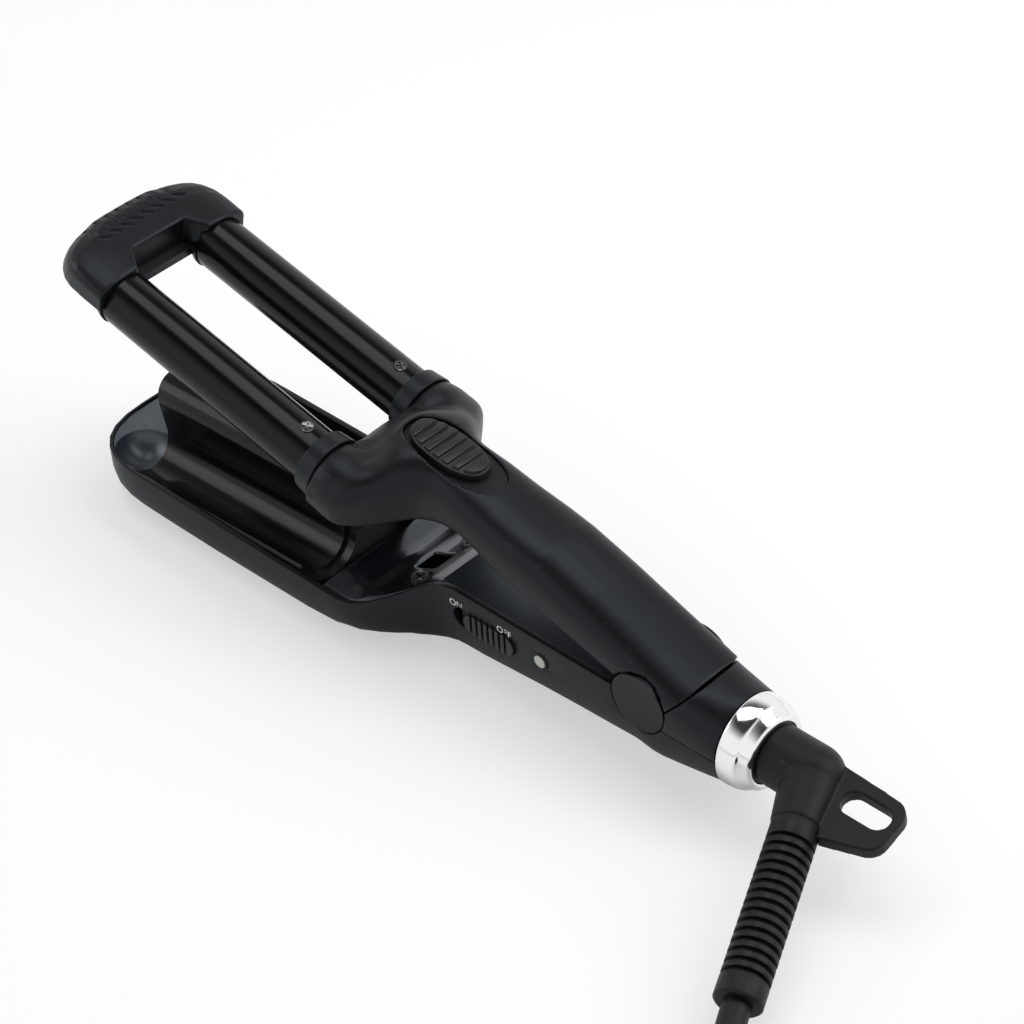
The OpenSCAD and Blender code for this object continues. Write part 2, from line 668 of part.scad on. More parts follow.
module swivel_retainer() {
  color("#b9bcc0") lower_arm() translate([0, 0, ring_z]) turned([[bush_front + 1.6, neck_r + fit],
    [bush_front + 1.6, neck_r + 3], [bush_front + 0.1, neck_r + 3], [bush_front + 0.1, neck_r + fit]]);
}
module strain_relief() {
  r = relief_d / 2;
  deep = 1.2;
  half = 0.65;
  grooves = [for (i = [0:relief_grooves - 1]) let (d = groove_start + i * groove_pitch)
    each [[d - half, r], [d - half, r - deep], [d + half, r - deep], [d + half, r]]];
  color("#131415") swivel() translate([-elbow_x, 0, 0]) rotate([0, 0, relief_turn])
    turned(concat([[relief_root, 0], [relief_root, r]], grooves,
      [[relief_end - 0.6, r], [relief_end, r - 0.6], [relief_end, 0]]));
}
// The lead from the strain relief to the coil, laid on the resting plane
cord_route = [[-73.99, 60.6, 8.52], [-75.21, 63.34, 7.91], [-77.15, 67.08, 7.13],
  [-79.57, 70.53, 6.43], [-82.4, 73.65, 5.81], [-85.61, 76.38, 5.28], [-89.14, 78.67, 4.82],
  [-92.93, 80.5, 4.45], [-96.93, 81.83, 4.17], [-101.06, 82.63, 3.96], [-105.26, 82.9, 3.84],
  [-120, 82.9, 3.8], [-145, 82.9, 3.8], [-170, 82.9, 3.8], [-193.5, 82.9, 3.8]];
coil_centre = [-193.5, 28];
coil_columns = 4;
coil_layers = 2;
coil_mean = 43.5;
tail_route = [[-166.05, -19.54, 11.4], [-159.54, -14.83, 11.81], [-153.79, -8.81, 12.89],
  [-148.88, -1.78, 14.43], [-144.91, 5.97, 16.23], [-141.97, 14.13, 18.07], [-140.15, 22.41, 19.74],
  [-139.54, 30.5, 21.03], [-140.25, 38.12, 21.73], [-142.35, 44.96, 21.8], [-145.6, 50.3, 21.8],
  [-149.5, 54.4, 21.8], [-153.7, 56.85, 21.8], [-157.96, 57.83, 21.8]];
plug_turn = 167;
module cord_lead() {
  color("#131415") lower_arm() tube(cord_route, cord_d / 2, 12);
}
module cord_coil() {
  wide = coil_columns * cord_d / 2;
  high = coil_layers * cord_d;
  round = cord_d / 2;
  function corner(x, y, from) = arc(x, y, round, from, from + 90, 4);
  corners = concat(corner(coil_mean + wide - round, round, -90), corner(coil_mean + wide - round, high - round, 0),
    corner(coil_mean - wide + round, high - round, 90), corner(coil_mean - wide + round, round, 180));
  color("#131415") lower_arm() translate(coil_centre) rotate_extrude($fn = 64) polygon(corners);
}
module cord_tie() {
  wide = coil_columns * cord_d / 2;
  high = coil_layers * cord_d;
  skin = 1;
  color("#2b2d30") lower_arm() translate(coil_centre) rotate([0, 0, 200]) translate([coil_mean, 0, 0])
    difference() {
    translate([-wide - skin, -4, 0]) cube([2 * wide + 2 * skin, 8, high + skin]);
    translate([-wide + 0.6, -5, skin]) cube([2 * wide - 1.2, 10, high - skin - 0.6]);
  }
}
module cord_tail() {
  color("#131415") lower_arm() tube(tail_route, cord_d / 2, 12);
}
module at_plug() {
  lower_arm() translate(tail_route[len(tail_route) - 1]) rotate([0, 0, plug_turn]) children();
}
module plug_body() {
  color("#131415") at_plug() {
    lengthways(0, 10, 5.4);
    hull() {
      translate([9, 0, 0]) rotate([0, 90, 0]) cylinder(h = 2, r = 6, $fn = 32);
      for (side = [-1, 1]) translate([22, side * 11, 0]) rotate([0, 90, 0])
        cylinder(h = 14, r = 6.6, $fn = 32);
    }
  }
}
module plug_pins() {
  color("#c9ccd0") at_plug() for (side = [-1, 1]) translate([0, side * 9.5, 0]) {
    lengthways(36, 54, 2);
    translate([54, 0, 0]) sphere(r = 2);
  }
}

// ---- Upper casing, in the arm's own axes: t along the barrels, n above them ----
// Rim of the upper casing, a seam gap above the lower rim when the arm is closed
function up_rim(t) = low_rim(max(t, 4.2)) - hinge_z + t * sin(plate_angle) + 0.8;
function up_top(t) = along([[-12, arm_top - 7.8], [0, arm_top - 6.1], [7, arm_top - 5.1],
  [25, arm_top - 1.7], [40, arm_top],
  [56, arm_top - 0.7], [68, arm_top - 0.3], [88, arm_top - 0.3], [94, arm_top - 1.2], [98, arm_top - 2.1],
  [101, arm_top - 4.2], [104.5, arm_top - 8], [collar_t, arm_top - 11.8]], t);
function up_half(t) = mix(handle_half, yoke_half, smooth(80, 99, t))
  - 1.2 * smooth(45, 70, t) * (1 - smooth(76, 88, t));
function up_base(t) = mix(up_rim(t) + 1.6, bulb_n, smooth(86, 98, t));
function bulb(t, y) = let (r = mix(bulb_r, collar_r + 0.2, smooth(103, collar_t + 1, t)),
  d = abs(y) - barrel_y)
  bulb_n + sqrt(max(0, r * r - d * d));
function hump(t, y, w) = let (base = up_base(t), k = min(1, abs(y) / w), e = mix(3, 2.3, smooth(76, 96, t)))
  base + (up_top(t) - base) * pow(1 - pow(k, e), 1 / e);
function blend_top(a, b, k) = (a + b + sqrt((a - b) * (a - b) + k * k)) / 2 - 0.25 * k;
function up_surface(t, y, w) = let (s = smooth(84, 102, t))
  s <= 0 ? hump(t, y, w) : mix(hump(t, y, w), blend_top(hump(t, y, mix(w, 14, s)), bulb(t, y),
    2 * (1 - abs(y) / w)), s);
function up_seam(t, n) = t + seam_slope * n * (1 - smooth(-9, 34, t));
// Half section from the rim at -y over the top to the rim at +y
function up_section(t, inset, steps) =
  let (w = up_half(t) - inset, rim = up_rim(t), base = up_base(t) + 0.2 * inset, tuck = 0.6)
  let (points = concat([[-w + tuck, rim], [-w + 0.2, mix(rim, base, 0.6)]],
    [for (j = [0:steps]) let (a = 180 - 180 * j / steps, y = w * cos(a))
      [y, max(base, min(up_surface(t, y, up_half(t)) - inset,
        up_surface(t, y * up_half(t) / w, up_half(t)) - inset * (0.35 + 0.65 * sin(a))))]],
    [[w - 0.2, mix(rim, base, 0.6)], [w - tuck, rim]]))
  [for (p = points) [up_seam(t, p[1]), p[0], p[1]]];
bulb_n = -0.9;
up_t = concat([seam_t + seam_gap, -3, 2, 7, 12, 18, 25, 33, 41, 50, 60], [for (t = [66:3:78]) t],
  [for (t = [80:2:102]) t],
  [103.5, 105, 106.4, collar_t]);
module upper_shell() {
  steps = 24;
  loft([for (t = up_t) concat(up_section(t, 0, steps), reversed(up_section(t, wall, steps)))]);
}
post_t = [27, 57];
cover_screw_r = 1.05;
module on_lock_plane() {
  upper_arm() translate([lock_t, 0, lock_n]) rotate([0, lock_pitch, 0]) children();
}
function oval(length, width) = [for (i = [0:35]) [length / 2 * power(cos(10 * i), 0.85),
  width / 2 * power(sin(10 * i), 0.85)]];
module upper_casing() {
  color("#1d1f22") difference() {
    union() {
      upper_arm() upper_shell();
      upper_arm() for (t = post_t) translate([t, 0, up_rim(t) + 2.2])
        cylinder(h = up_top(t) - up_rim(t) - 3, r = 3);
    }
    upper_arm() across(-20, 20, cap_d / 2 + seam_gap);
    on_lock_plane() translate([-lock_travel / 2, 0, -12]) linear_extrude(height = 24)
      polygon(oval(lock_len + lock_travel + 1.6, lock_w + 1.6));
    upper_arm() for (t = post_t) translate([t, 0, up_rim(t) - 2]) cylinder(h = 9, r = cover_screw_r + fit);
  }
}
module upper_inner_cover() {
  thick = 1.5;
  rows = concat([12], [for (t = [18:12:78]) t], [81, 84, 86.5]);
  color("#17181a") upper_arm() difference() {
    loft([for (t = rows) let (w = up_half(t) - wall - rub - 0.6, n = up_rim(t) + 0.5)
      plate_ring(t, [[w, n], [-w, n]], [[w, n + thick], [-w, n + thick]])]);
    for (t = post_t) translate([t, 0, up_rim(t) - 1]) cylinder(h = 4, r = 1.3);
    hook_window();
  }
}
module cover_screws() {
  color("#8c8f93") upper_arm() for (t = post_t) translate([t, 0, up_rim(t) + 0.5]) difference() {
    union() {
      translate([0, 0, -1.3]) cylinder(h = 1.2, r = 2.3);
      translate([0, 0, -0.2]) cylinder(h = 6.4, r = cover_screw_r);
    }
    for (turn = [0, 90]) rotate(turn) translate([-1.3, -0.25, -2]) cube([2.6, 0.5, 1.3]);
  }
}
// Curved plate that closes the yoke from below, between the inner cover and the collars,
// with a wall at its front end that stands up under the casing between the collars
yoke_t = [87, 90, 93, 95, 97, 99.5, 103.4, collar_t - 0.4];
yoke_wall_t = 1.6;
module yoke_cover() {
  thick = 1.5;
  front = collar_t - 0.4;
  function deep(t) = 0.4 + 4 * smooth(94, 99.5, t);
  half = barrel_y - spigot_r - 0.9;
  low = up_rim(front) + thick - deep(front);
  wall_top = [for (j = [0:8]) let (y = half * cos(180 * j / 8)) [y,
    up_surface(front, y, up_half(front)) - wall - rub]];
  color("#17181a") upper_arm() difference() {
    union() {
      loft([for (t = yoke_t) let (w = up_half(t) - wall - rub - 0.6, n = up_rim(t) + 0.5, top = n + thick,
        sag = deep(t))
        plate_ring(t, [[w, n], [0.93 * w, n - sag], [0, n - sag], [-0.93 * w, n - sag], [-w, n]],
          [[w, top], [0.9 * w, top - sag], [0, top - sag], [-0.9 * w, top - sag], [-w, top]])]);
      profile_along(front - yoke_wall_t, front, concat([[-half, low], [half, low]], wall_top));
    }
    hook_window();
  }
}
// Opening for the hook in the covers under the yoke
module hook_window() {
  translate([hook_t - lock_travel - 2.8, -hook_half - 0.6, -10])
    cube([lock_travel + hook_len + 3.6, 2 * hook_half + 1.2, 20]);
}
module upper_bracket() {
  bridge_t = 1.6;
  color("#6d7074") upper_arm() difference() {
    union() {
      both_sides() {
        across(outer_lug_y, outer_lug_y + outer_lug_t, lug_r);
        translate([0, outer_lug_y, 0]) cube([lug_r, outer_lug_t, lug_r + 0.6]);
      }
      translate([1, -outer_lug_y - 2, lug_r + rub]) cube([lug_r - 1, 2 * outer_lug_y + 4, bridge_t]);
    }
    across(-14, 14, pin_d / 2 + fit);
  }
}

// ---- Barrels ----
module at_barrel() {
  upper_arm() translate([0, barrel_y, 0]) children();
}
module at_far_barrel() {
  mirror([0, 1, 0]) at_barrel() children();
}
module collar() {
  difference() {
    union() {
      turned_between(collar_t, collar_t + 0.4, collar_r, collar_r);
      turned_between(collar_t + 0.4, collar_front, collar_r, barrel_r + 1.36);
      lengthways(collar_t - spigot_tail, screw_t + 4, spigot_r);
    }
    difference() {
      lengthways(collar_t + 1.4, collar_front + 1, barrel_r + fit);
      lengthways(collar_t, collar_front + 2, spigot_r);
    }
    lengthways(collar_t - spigot_tail - 1, screw_t + 5, spigot_r - 2);
    translate([screw_t, 0, 0]) cylinder(h = barrel_r, r = 0.95);
  }
}
module turned_between(t0, t1, r0, r1) {
  translate([t0, 0, 0]) rotate([0, 90, 0]) cylinder(h = t1 - t0, r1 = r0, r2 = r1);
}
module collar_near() {
  color("#17181a") at_barrel() collar();
}
module collar_far() {
  color("#17181a") at_far_barrel() collar();
}
module barrel() {
  difference() {
    lengthways(collar_t + 1.6, socket_t - 0.2, barrel_r);
    lengthways(collar_t, socket_t + 1, barrel_r - barrel_wall);
    translate([screw_t, 0, 0]) cylinder(h = barrel_r + 1, r = 1.1);
    translate([screw_t, 0, barrel_r - 0.7]) cylinder(h = 2, r = 2);
  }
}
module barrel_near() {
  color("#0c0d0f") at_barrel() barrel();
}
module barrel_far() {
  color("#0c0d0f") at_far_barrel() barrel();
}
core_start = screw_t + 5;
core_end = socket_t - 9.6;
core_slot_w = 7.2;
core_slot_h = 3;
module barrel_core() {
  difference() {
    lengthways(core_start, core_end, barrel_r - barrel_wall - fit);
    translate([core_start - 1, -core_slot_w / 2, -core_slot_h / 2])
      cube([core_end - core_start + 2, core_slot_w, core_slot_h]);
  }
}
module barrel_core_near() {
  color("#b5b8bb") at_barrel() barrel_core();
}
module barrel_core_far() {
  color("#b5b8bb") at_far_barrel() barrel_core();
}
module barrel_heater() {
  translate([core_start + 4, -core_slot_w / 2 + 0.2, -core_slot_h / 2 + 0.05])
    cube([core_end - core_start - 8, core_slot_w - 0.4, core_slot_h - 0.1]);
}
module barrel_heaters() {
  color("#d8d4c8") {
    at_barrel() barrel_heater();
    at_far_barrel() barrel_heater();
  }
}
module barrel_screw() {
  translate([screw_t, 0, 0]) difference() {
    union() {
      translate([0, 0, spigot_r - 1.6]) cylinder(h = barrel_r - spigot_r + 1.2, r = 0.9);
      translate([0, 0, barrel_r - 0.65]) cylinder(h = 0.95, r = 1.9);
    }
    for (turn = [30, 120]) rotate(turn) translate([-1.3, -0.25, barrel_r - 0.2]) cube([2.6, 0.5, 1]);
  }
}
module barrel_screws() {
  color("#2a2c2f") {
    at_barrel() barrel_screw();
    at_far_barrel() barrel_screw();
  }
}

// ---- Tip cap: outer half over the barrels, inner half under them ----
tip_part_n = 0.4;
tip_side = 5;
tip_crown = 9.8;
function tip_edge(k) = mix(tip_start + 9, tip_front, pow(1 - pow(k, 3), 1 / 2.6));
function tip_rear(y) = tip_start
  + 6.5 * (1 - smooth(barrel_y - barrel_r + 0.6, barrel_y - barrel_r + 2.2, abs(y)));
function tip_height(k) = mix(tip_side, tip_crown, pow(1 - pow(k, 4), 1 / 2.4));
// Outline of the cap at k of its half width: up the rear edge, over the crown and down the front
function tip_ring(k, y) =
  let (r = tip_rear(y), f = tip_edge(k), h = tip_height(k), long = f - r)
  [for (p = [[0, 0], [0, 0.5], [0, 0.9], [0.03, 0.96], [0.3, 0.99], [0.5, 1], [0.68, 0.97], [0.82, 0.86],
    [0.91, 0.66],
    [0.965, 0.4], [1, 0.14], [0.985, 0]]) [r + long * p[0], y, tip_part_n + h * p[1]]];
module tip_cap_outer() {
  grooves = 8;
  pitch = 4;
  color("#1b1d20") upper_arm() difference() {
    loft([for (s = [10:-1:-10]) let (k = power(sin(9 * s), 0.9)) tip_ring(abs(k), tip_half * k)]);
    both_sides() translate([0, barrel_y, 0]) lengthways(tip_start - 10, socket_t, barrel_r + fit);
    translate([tip_start + 9, -barrel_y + barrel_r + 1.6, tip_part_n - 1])
      cube([8, 2 * (barrel_y - barrel_r - 1.6), 8]);
    for (y = [-6, 6]) translate([tip_screw_t, y, tip_part_n - 1]) cylinder(h = 7, r = 1);
  }
}
tip_screw_t = 203.4;
module tip_cap_inner() {
  flange = 3;
  low_r = barrel_r + 0.45;
  rear = tip_start + 0.4;
  long = 6.4;
  color("#17181a") upper_arm() difference() {
    union() {
      intersection() {
        both_sides() translate([0, barrel_y, 0])
          turned(concat([[rear, 0]], [for (i = [0:8]) [rear + 0.4 + long * sin(90 * i / 8),
            low_r * cos(90 * i / 8)]]));
        translate([rear - 1, -40, -20]) cube([40, 80, 20 + tip_part_n - 0.05]);
      }
      translate([rear + 3, -barrel_y, tip_part_n - flange]) cube([long - 3, 2 * barrel_y, flange - 0.05]);
      translate([rear + long - 1, -10, tip_part_n - flange])
        cube([tip_screw_t + 4 - rear - long, 20, flange - 0.05]);
    }
    both_sides() translate([0, barrel_y, 0]) lengthways(tip_start - 10, socket_t, barrel_r + fit);
    for (y = [-6, 6]) translate([tip_screw_t, y, tip_part_n - 20]) cylinder(h = 24, r = 1.2);
  }
}
module barrel_plug() {
  lengthways(socket_t - 9, socket_t - 0.05, spigot_r);
}
module barrel_plugs() {
  color("#17181a") {
    at_barrel() barrel_plug();
    at_far_barrel() barrel_plug();
  }
}
module tip_screws() {
  color("#8c8f93") upper_arm() for (y = [-6, 6]) translate([tip_screw_t, y, tip_part_n]) {
    translate([0, 0, -4.1]) cylinder(h = 1.1, r = 2);
    translate([0, 0, -3.2]) cylinder(h = 7.2, r = 0.95);
  }
}

// ---- Lock: button, the hook it carries, and the guide it runs on ----
hook_t = lock_t + 4.1;
hook_len = 3;
hook_toe = 2;
hook_half = 2.6;
hook_low = -8.5;
module lock_button() {
  ribs = 7;
  pitch = (lock_len - 3) / ribs;
  color("#131415") on_lock_plane() difference() {
    union() {
      translate([0, 0, lock_base]) linear_extrude(height = lock_top - 0.9 - lock_base)
        polygon(oval(lock_len, lock_w));
      translate([0, 0, lock_top - 0.9]) linear_extrude(height = 0.9)
        polygon(oval(lock_len - 1.4, lock_w - 1.4));
    }
    for (i = [1:ribs - 1]) translate([(i - ribs / 2) * pitch - 0.7, -20, lock_top - 0.8])
      cube([1.4, 40, 4]);
  }
}
module lock_guide() {
  top = -4.9;
  thick = 1.6;
  half_len = 18;
  half_w = 6.8;
  ahead = hook_t - lock_t;
  color("#3b3d40") on_lock_plane() difference() {
    union() {
      translate([-half_len, -half_w, top - thick]) cube([2 * half_len, 2 * half_w, thick]);
      for (rib = [[-half_len, 1.9], [half_len - 1.4, 1.2]]) translate([rib[0], -3, top - 0.1])
        cube([1.4, 6, rib[1]]);
    }
    translate([ahead - lock_travel - hook_toe - 0.4, -hook_half - 0.6, top - 3])
      cube([lock_travel + hook_toe + hook_len + 2, 2 * hook_half + 1.2, 6]);
  }
}
module lock_hook() {
  color("#3b3d40") difference() {
    upper_arm() {
      translate([hook_t, -hook_half, hook_low]) cube([hook_len, 2 * hook_half, lock_n - hook_low]);
      translate([hook_t - hook_toe, -hook_half, hook_low]) cube([hook_toe + 1, 2 * hook_half, 2]);
    }
    on_lock_plane() translate([-20, -10, lock_base]) cube([40, 20, 10]);
  }
}

lower_casing();
tip_cover();
wave_plate();
plate_carrier();
plate_heaters();
heater_clamp();
thermal_fuse();
neck_cover();
neck_screws();
inner_panel();
casing_screws();
circuit_board();
switch_body();
switch_button();
light_body();
light_lens();
rear_cover();
rear_ring();
swivel_bush();
lower_bracket();
hinge_pin();
hinge_spring();
pivot_cap_near();
pivot_cap_far();
swivel_elbow();
swivel_retainer();
strain_relief();
upper_casing();
yoke_cover();
upper_inner_cover();
upper_bracket();
cover_screws();
collar_near();
collar_far();
barrel_near();
barrel_far();
barrel_core_near();
barrel_core_far();
barrel_heaters();
barrel_screws();
barrel_plugs();
tip_cap_outer();
tip_cap_inner();
tip_screws();
lock_button();
lock_hook();
lock_guide();
cord_lead();
cord_coil();
cord_tie();
cord_tail();
plug_body();
plug_pins();
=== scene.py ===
# Hair waver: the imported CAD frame, dressed for looks. Millimetres are counted from the hinge axis.
import json
import math
import bpy
from mathutils import Matrix, Vector
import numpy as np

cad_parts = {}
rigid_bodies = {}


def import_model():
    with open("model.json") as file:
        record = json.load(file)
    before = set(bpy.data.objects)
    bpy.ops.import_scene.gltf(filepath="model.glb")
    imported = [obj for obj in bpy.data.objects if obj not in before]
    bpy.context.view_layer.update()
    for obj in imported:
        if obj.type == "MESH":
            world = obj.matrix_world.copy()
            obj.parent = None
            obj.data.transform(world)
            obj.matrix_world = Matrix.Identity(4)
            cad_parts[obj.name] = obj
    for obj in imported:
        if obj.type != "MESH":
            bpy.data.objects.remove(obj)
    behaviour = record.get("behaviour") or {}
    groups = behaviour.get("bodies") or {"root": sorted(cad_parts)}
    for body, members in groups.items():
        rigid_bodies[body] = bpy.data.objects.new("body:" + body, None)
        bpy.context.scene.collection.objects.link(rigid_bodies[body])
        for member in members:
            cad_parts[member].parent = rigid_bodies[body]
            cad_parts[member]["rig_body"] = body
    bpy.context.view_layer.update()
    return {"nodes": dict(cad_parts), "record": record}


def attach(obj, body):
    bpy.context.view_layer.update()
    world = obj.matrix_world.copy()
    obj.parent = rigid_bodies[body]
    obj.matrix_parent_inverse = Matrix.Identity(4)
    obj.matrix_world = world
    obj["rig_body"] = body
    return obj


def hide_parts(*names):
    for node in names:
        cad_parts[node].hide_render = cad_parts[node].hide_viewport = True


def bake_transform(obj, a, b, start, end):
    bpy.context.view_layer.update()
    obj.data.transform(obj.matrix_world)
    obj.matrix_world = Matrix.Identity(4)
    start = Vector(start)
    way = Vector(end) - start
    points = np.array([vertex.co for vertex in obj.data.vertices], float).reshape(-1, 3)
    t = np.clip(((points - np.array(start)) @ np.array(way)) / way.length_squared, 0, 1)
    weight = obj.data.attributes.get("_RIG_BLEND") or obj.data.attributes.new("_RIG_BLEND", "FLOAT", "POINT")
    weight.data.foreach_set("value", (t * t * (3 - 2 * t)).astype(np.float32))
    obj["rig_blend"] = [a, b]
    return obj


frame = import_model()
nodes = frame["nodes"]
slotOf = {s["node"]: s["material_slot"] for s in frame["record"]["subparts"]}
scene = bpy.context.scene
scene.view_settings.view_transform = "Standard"
print("frame loaded:", len(nodes), "nodes")

place = {"restX": 150.0, "hingeZ": 27.6, "openAngle": 13.2, "lockT": 83.2, "lockN": 17.2, "lockPitch": 6.0,
         "ringZ": 22.4, "plateAngle": 2.5, "handleHalf": 13.4}


def low(x, y, z):  # a point of the lower arm, in metres
    return Vector(((x - place["restX"]) / 1000, y / 1000, z / 1000))


def arm(t, y, n):  # a point of the open upper arm: along the barrels, across, above them
    a = math.radians(place["openAngle"])
    return low(t * math.cos(a) - n * math.sin(a), y, place["hingeZ"] + t * math.sin(a) + n * math.cos(a))


def onLock(s, y, h):  # a point on the plane that the thumb piece slides in
    b = math.radians(place["lockPitch"])
    return arm(place["lockT"] + s * math.cos(b) + h * math.sin(b), y,
               place["lockN"] - s * math.sin(b) + h * math.cos(b))


def addMath(tree, operation, a, b=None):
    node = tree.nodes.new("ShaderNodeMath")
    node.operation = operation
    for i, value in enumerate((a, b)):
        if hasattr(value, "is_linked"):
            tree.links.new(value, node.inputs[i])
        elif value is not None:
            node.inputs[i].default_value = value
    return node.outputs[0]


# camera, floor and light
view = {"azimuth": 226.39, "elevation": 39.68, "roll": -4.0, "lens": 109.74, "place": (-0.55065, 0.43421, 0.57547)}


def addCamera():
    az, el, roll = (math.radians(view[k]) for k in ("azimuth", "elevation", "roll"))
    back = Vector((math.sin(az) * math.cos(el), -math.cos(az) * math.cos(el), math.sin(el)))
    level = Vector((math.cos(az), math.sin(az), 0))
    rise = back.cross(level)
    right = math.cos(roll) * level + math.sin(roll) * rise
    up = math.cos(roll) * rise - math.sin(roll) * level
    data = bpy.data.cameras.new("camera")
    data.lens = view["lens"]
    data.sensor_width = 36
    data.clip_start = 0.01
    camera = bpy.data.objects.new("camera", data)
    scene.collection.objects.link(camera)
    camera.matrix_world = Matrix.Translation(view["place"]) @ Matrix((right, up, back)).transposed().to_4x4()
    scene.camera = camera


lamps = [  # metres and watts
    {"name": "lampRight", "at": (-0.75, -0.55, 0.75), "aim": (-0.08, 0, 0.03), "size": (0.5, 0.9), "watts": 5.0},
    {"name": "lampTop", "at": (0.05, -0.15, 0.95), "aim": (-0.08, 0, 0.03), "size": (0.9, 0.5), "watts": 4.0},
    {"name": "lampLeft", "at": (0.75, 0.55, 0.6), "aim": (-0.05, 0, 0.03), "size": (0.5, 0.5), "watts": 1.5},
]
# what shine reflects: a pale wall up to a ray's rise of 0.5, turning into a dim ceiling by 0.85
room = {"From Min": 0.5, "From Max": 0.85, "To Min": 1.0, "To Max": 0.04}
studio = {"fill": 0.5, "floorPaint": 0.9, "floorGlow": 0.5, "floorSize": 6, "floorDrop": 0.0002}


def addLight():
    for lamp in lamps:
        data = bpy.data.lights.new(lamp["name"], "AREA")
        data.shape = "RECTANGLE"
        data.size, data.size_y = lamp["size"]
        data.energy = lamp["watts"]
        light = bpy.data.objects.new(lamp["name"], data)
        scene.collection.objects.link(light)
        light.location = lamp["at"]
        light.rotation_euler = (Vector(lamp["aim"]) - Vector(lamp["at"])).to_track_quat("-Z", "Y").to_euler()
    world = bpy.data.worlds.new("studio")
    world.use_nodes = True
    scene.world = world
    tree = world.node_tree
    tree.nodes.clear()
    path = tree.nodes.new("ShaderNodeLightPath")
    shown = addMath(tree, "MAXIMUM", path.outputs["Is Camera Ray"], path.outputs["Is Glossy Ray"])
    shown = addMath(tree, "MAXIMUM", shown, path.outputs["Is Transmission Ray"])
    ray = tree.nodes.new("ShaderNodeSeparateXYZ")
    tree.links.new(tree.nodes.new("ShaderNodeTexCoord").outputs["Generated"], ray.inputs[0])
    wall = tree.nodes.new("ShaderNodeMapRange")
    wall.interpolation_type = "SMOOTHSTEP"
    for name, value in room.items():
        wall.inputs[name].default_value = value
    tree.links.new(ray.outputs["Z"], wall.inputs["Value"])
    lit = addMath(tree, "MAXIMUM", wall.outputs["Result"], path.outputs["Is Camera Ray"])
    soft = tree.nodes.new("ShaderNodeBackground")
    soft.inputs["Color"].default_value = (1, 1, 1, 1)
    soft.inputs["Strength"].default_value = studio["fill"]
    white = tree.nodes.new("ShaderNodeBackground")
    white.inputs["Color"].default_value = (1, 1, 1, 1)
    tree.links.new(lit, white.inputs["Strength"])
    mix = tree.nodes.new("ShaderNodeMixShader")
    out = tree.nodes.new("ShaderNodeOutputWorld")
    tree.links.new(shown, mix.inputs["Fac"])
    tree.links.new(soft.outputs[0], mix.inputs[1])
    tree.links.new(white.outputs[0], mix.inputs[2])
    tree.links.new(mix.outputs[0], out.inputs["Surface"])


def addFloor():
    deselect()
    bpy.ops.mesh.primitive_plane_add(size=studio["floorSize"], location=(0, 0, -studio["floorDrop"]))
    floor = bpy.context.object
    floor.name = "floor"
    finish = bpy.data.materials.new("floorWhite")
    finish.use_nodes = True
    tree = finish.node_tree
    tree.nodes.clear()
    path = tree.nodes.new("ShaderNodeLightPath")
    paint = tree.nodes.new("ShaderNodeBsdfDiffuse")
    paint.inputs["Color"].default_value = (*3 * (studio["floorPaint"],), 1)
    glow = tree.nodes.new("ShaderNodeEmission")
    glow.inputs["Strength"].default_value = 1.0
    share = tree.nodes.new("ShaderNodeMath")
    share.operation = "MULTIPLY"
    share.inputs[1].default_value = studio["floorGlow"]
    mix = tree.nodes.new("ShaderNodeMixShader")
    out = tree.nodes.new("ShaderNodeOutputMaterial")
    tree.links.new(path.outputs["Is Camera Ray"], share.inputs[0])
    tree.links.new(share.outputs[0], mix.inputs["Fac"])
    tree.links.new(paint.outputs[0], mix.inputs[1])
    tree.links.new(glow.outputs[0], mix.inputs[2])
    tree.links.new(mix.outputs[0], out.inputs["Surface"])
    floor.data.materials.append(finish)


# small helpers for working as by hand
def deselect():
    if bpy.context.object and bpy.context.object.mode != "OBJECT":
        bpy.ops.object.mode_set(mode="OBJECT")
    for o in scene.objects:
        o.select_set(False)


def pick(piece):
    deselect()
    piece.select_set(True)
    bpy.context.view_layer.objects.active = piece
    return piece


def applied(piece, kind, **values):  # add a modifier with these values and apply it
    pick(piece)
    modifier = piece.modifiers.new(kind.lower(), kind)
    for name, value in values.items():
        setattr(modifier, name, value)
    bpy.ops.object.modifier_apply(modifier=modifier.name)
    return piece


def settled(piece):  # its place goes into its mesh
    pick(piece)
    bpy.ops.object.transform_apply(location=True, rotation=True, scale=True)
    return piece


def smoothed(piece, angle=35):
    pick(piece)
    bpy.ops.object.shade_smooth_by_angle(angle=math.radians(angle))
    return piece


def nodeCopy(name, node):  # a welded mesh from a CAD node
    piece = bpy.data.objects.new(name, nodes[node].data.copy())
    scene.collection.objects.link(piece)
    pick(piece)
    piece.data.materials.clear()
    if piece.data.has_custom_normals:
        bpy.ops.mesh.customdata_custom_splitnormals_clear()
    bpy.ops.object.mode_set(mode="EDIT")
    bpy.ops.mesh.select_all(action="SELECT")
    bpy.ops.mesh.remove_doubles(threshold=0.00001)
    bpy.ops.mesh.tris_convert_to_quads(face_threshold=math.radians(30), shape_threshold=math.radians(50))
    bpy.ops.object.mode_set(mode="OBJECT")
    return piece


def rounded(piece, width, segments=2, angle=35, flat=False):  # soft moulded edges, width in mm
    applied(piece, "BEVEL", width=width / 1000, segments=segments, limit_method="ANGLE",
            angle_limit=math.radians(angle), harden_normals=False, use_clamp_overlap=True, miter_outer="MITER_ARC")
    smoothed(piece, angle)
    if flat:  # long faces keep their own normals
        applied(piece, "WEIGHTED_NORMAL", mode="FACE_AREA", weight=90, keep_sharp=True)
    return piece


def armAxes(y=0.0):
    return Matrix.Translation(arm(0, y, 0)) @ Matrix.Rotation(-math.radians(place["openAngle"]), 4, "Y")


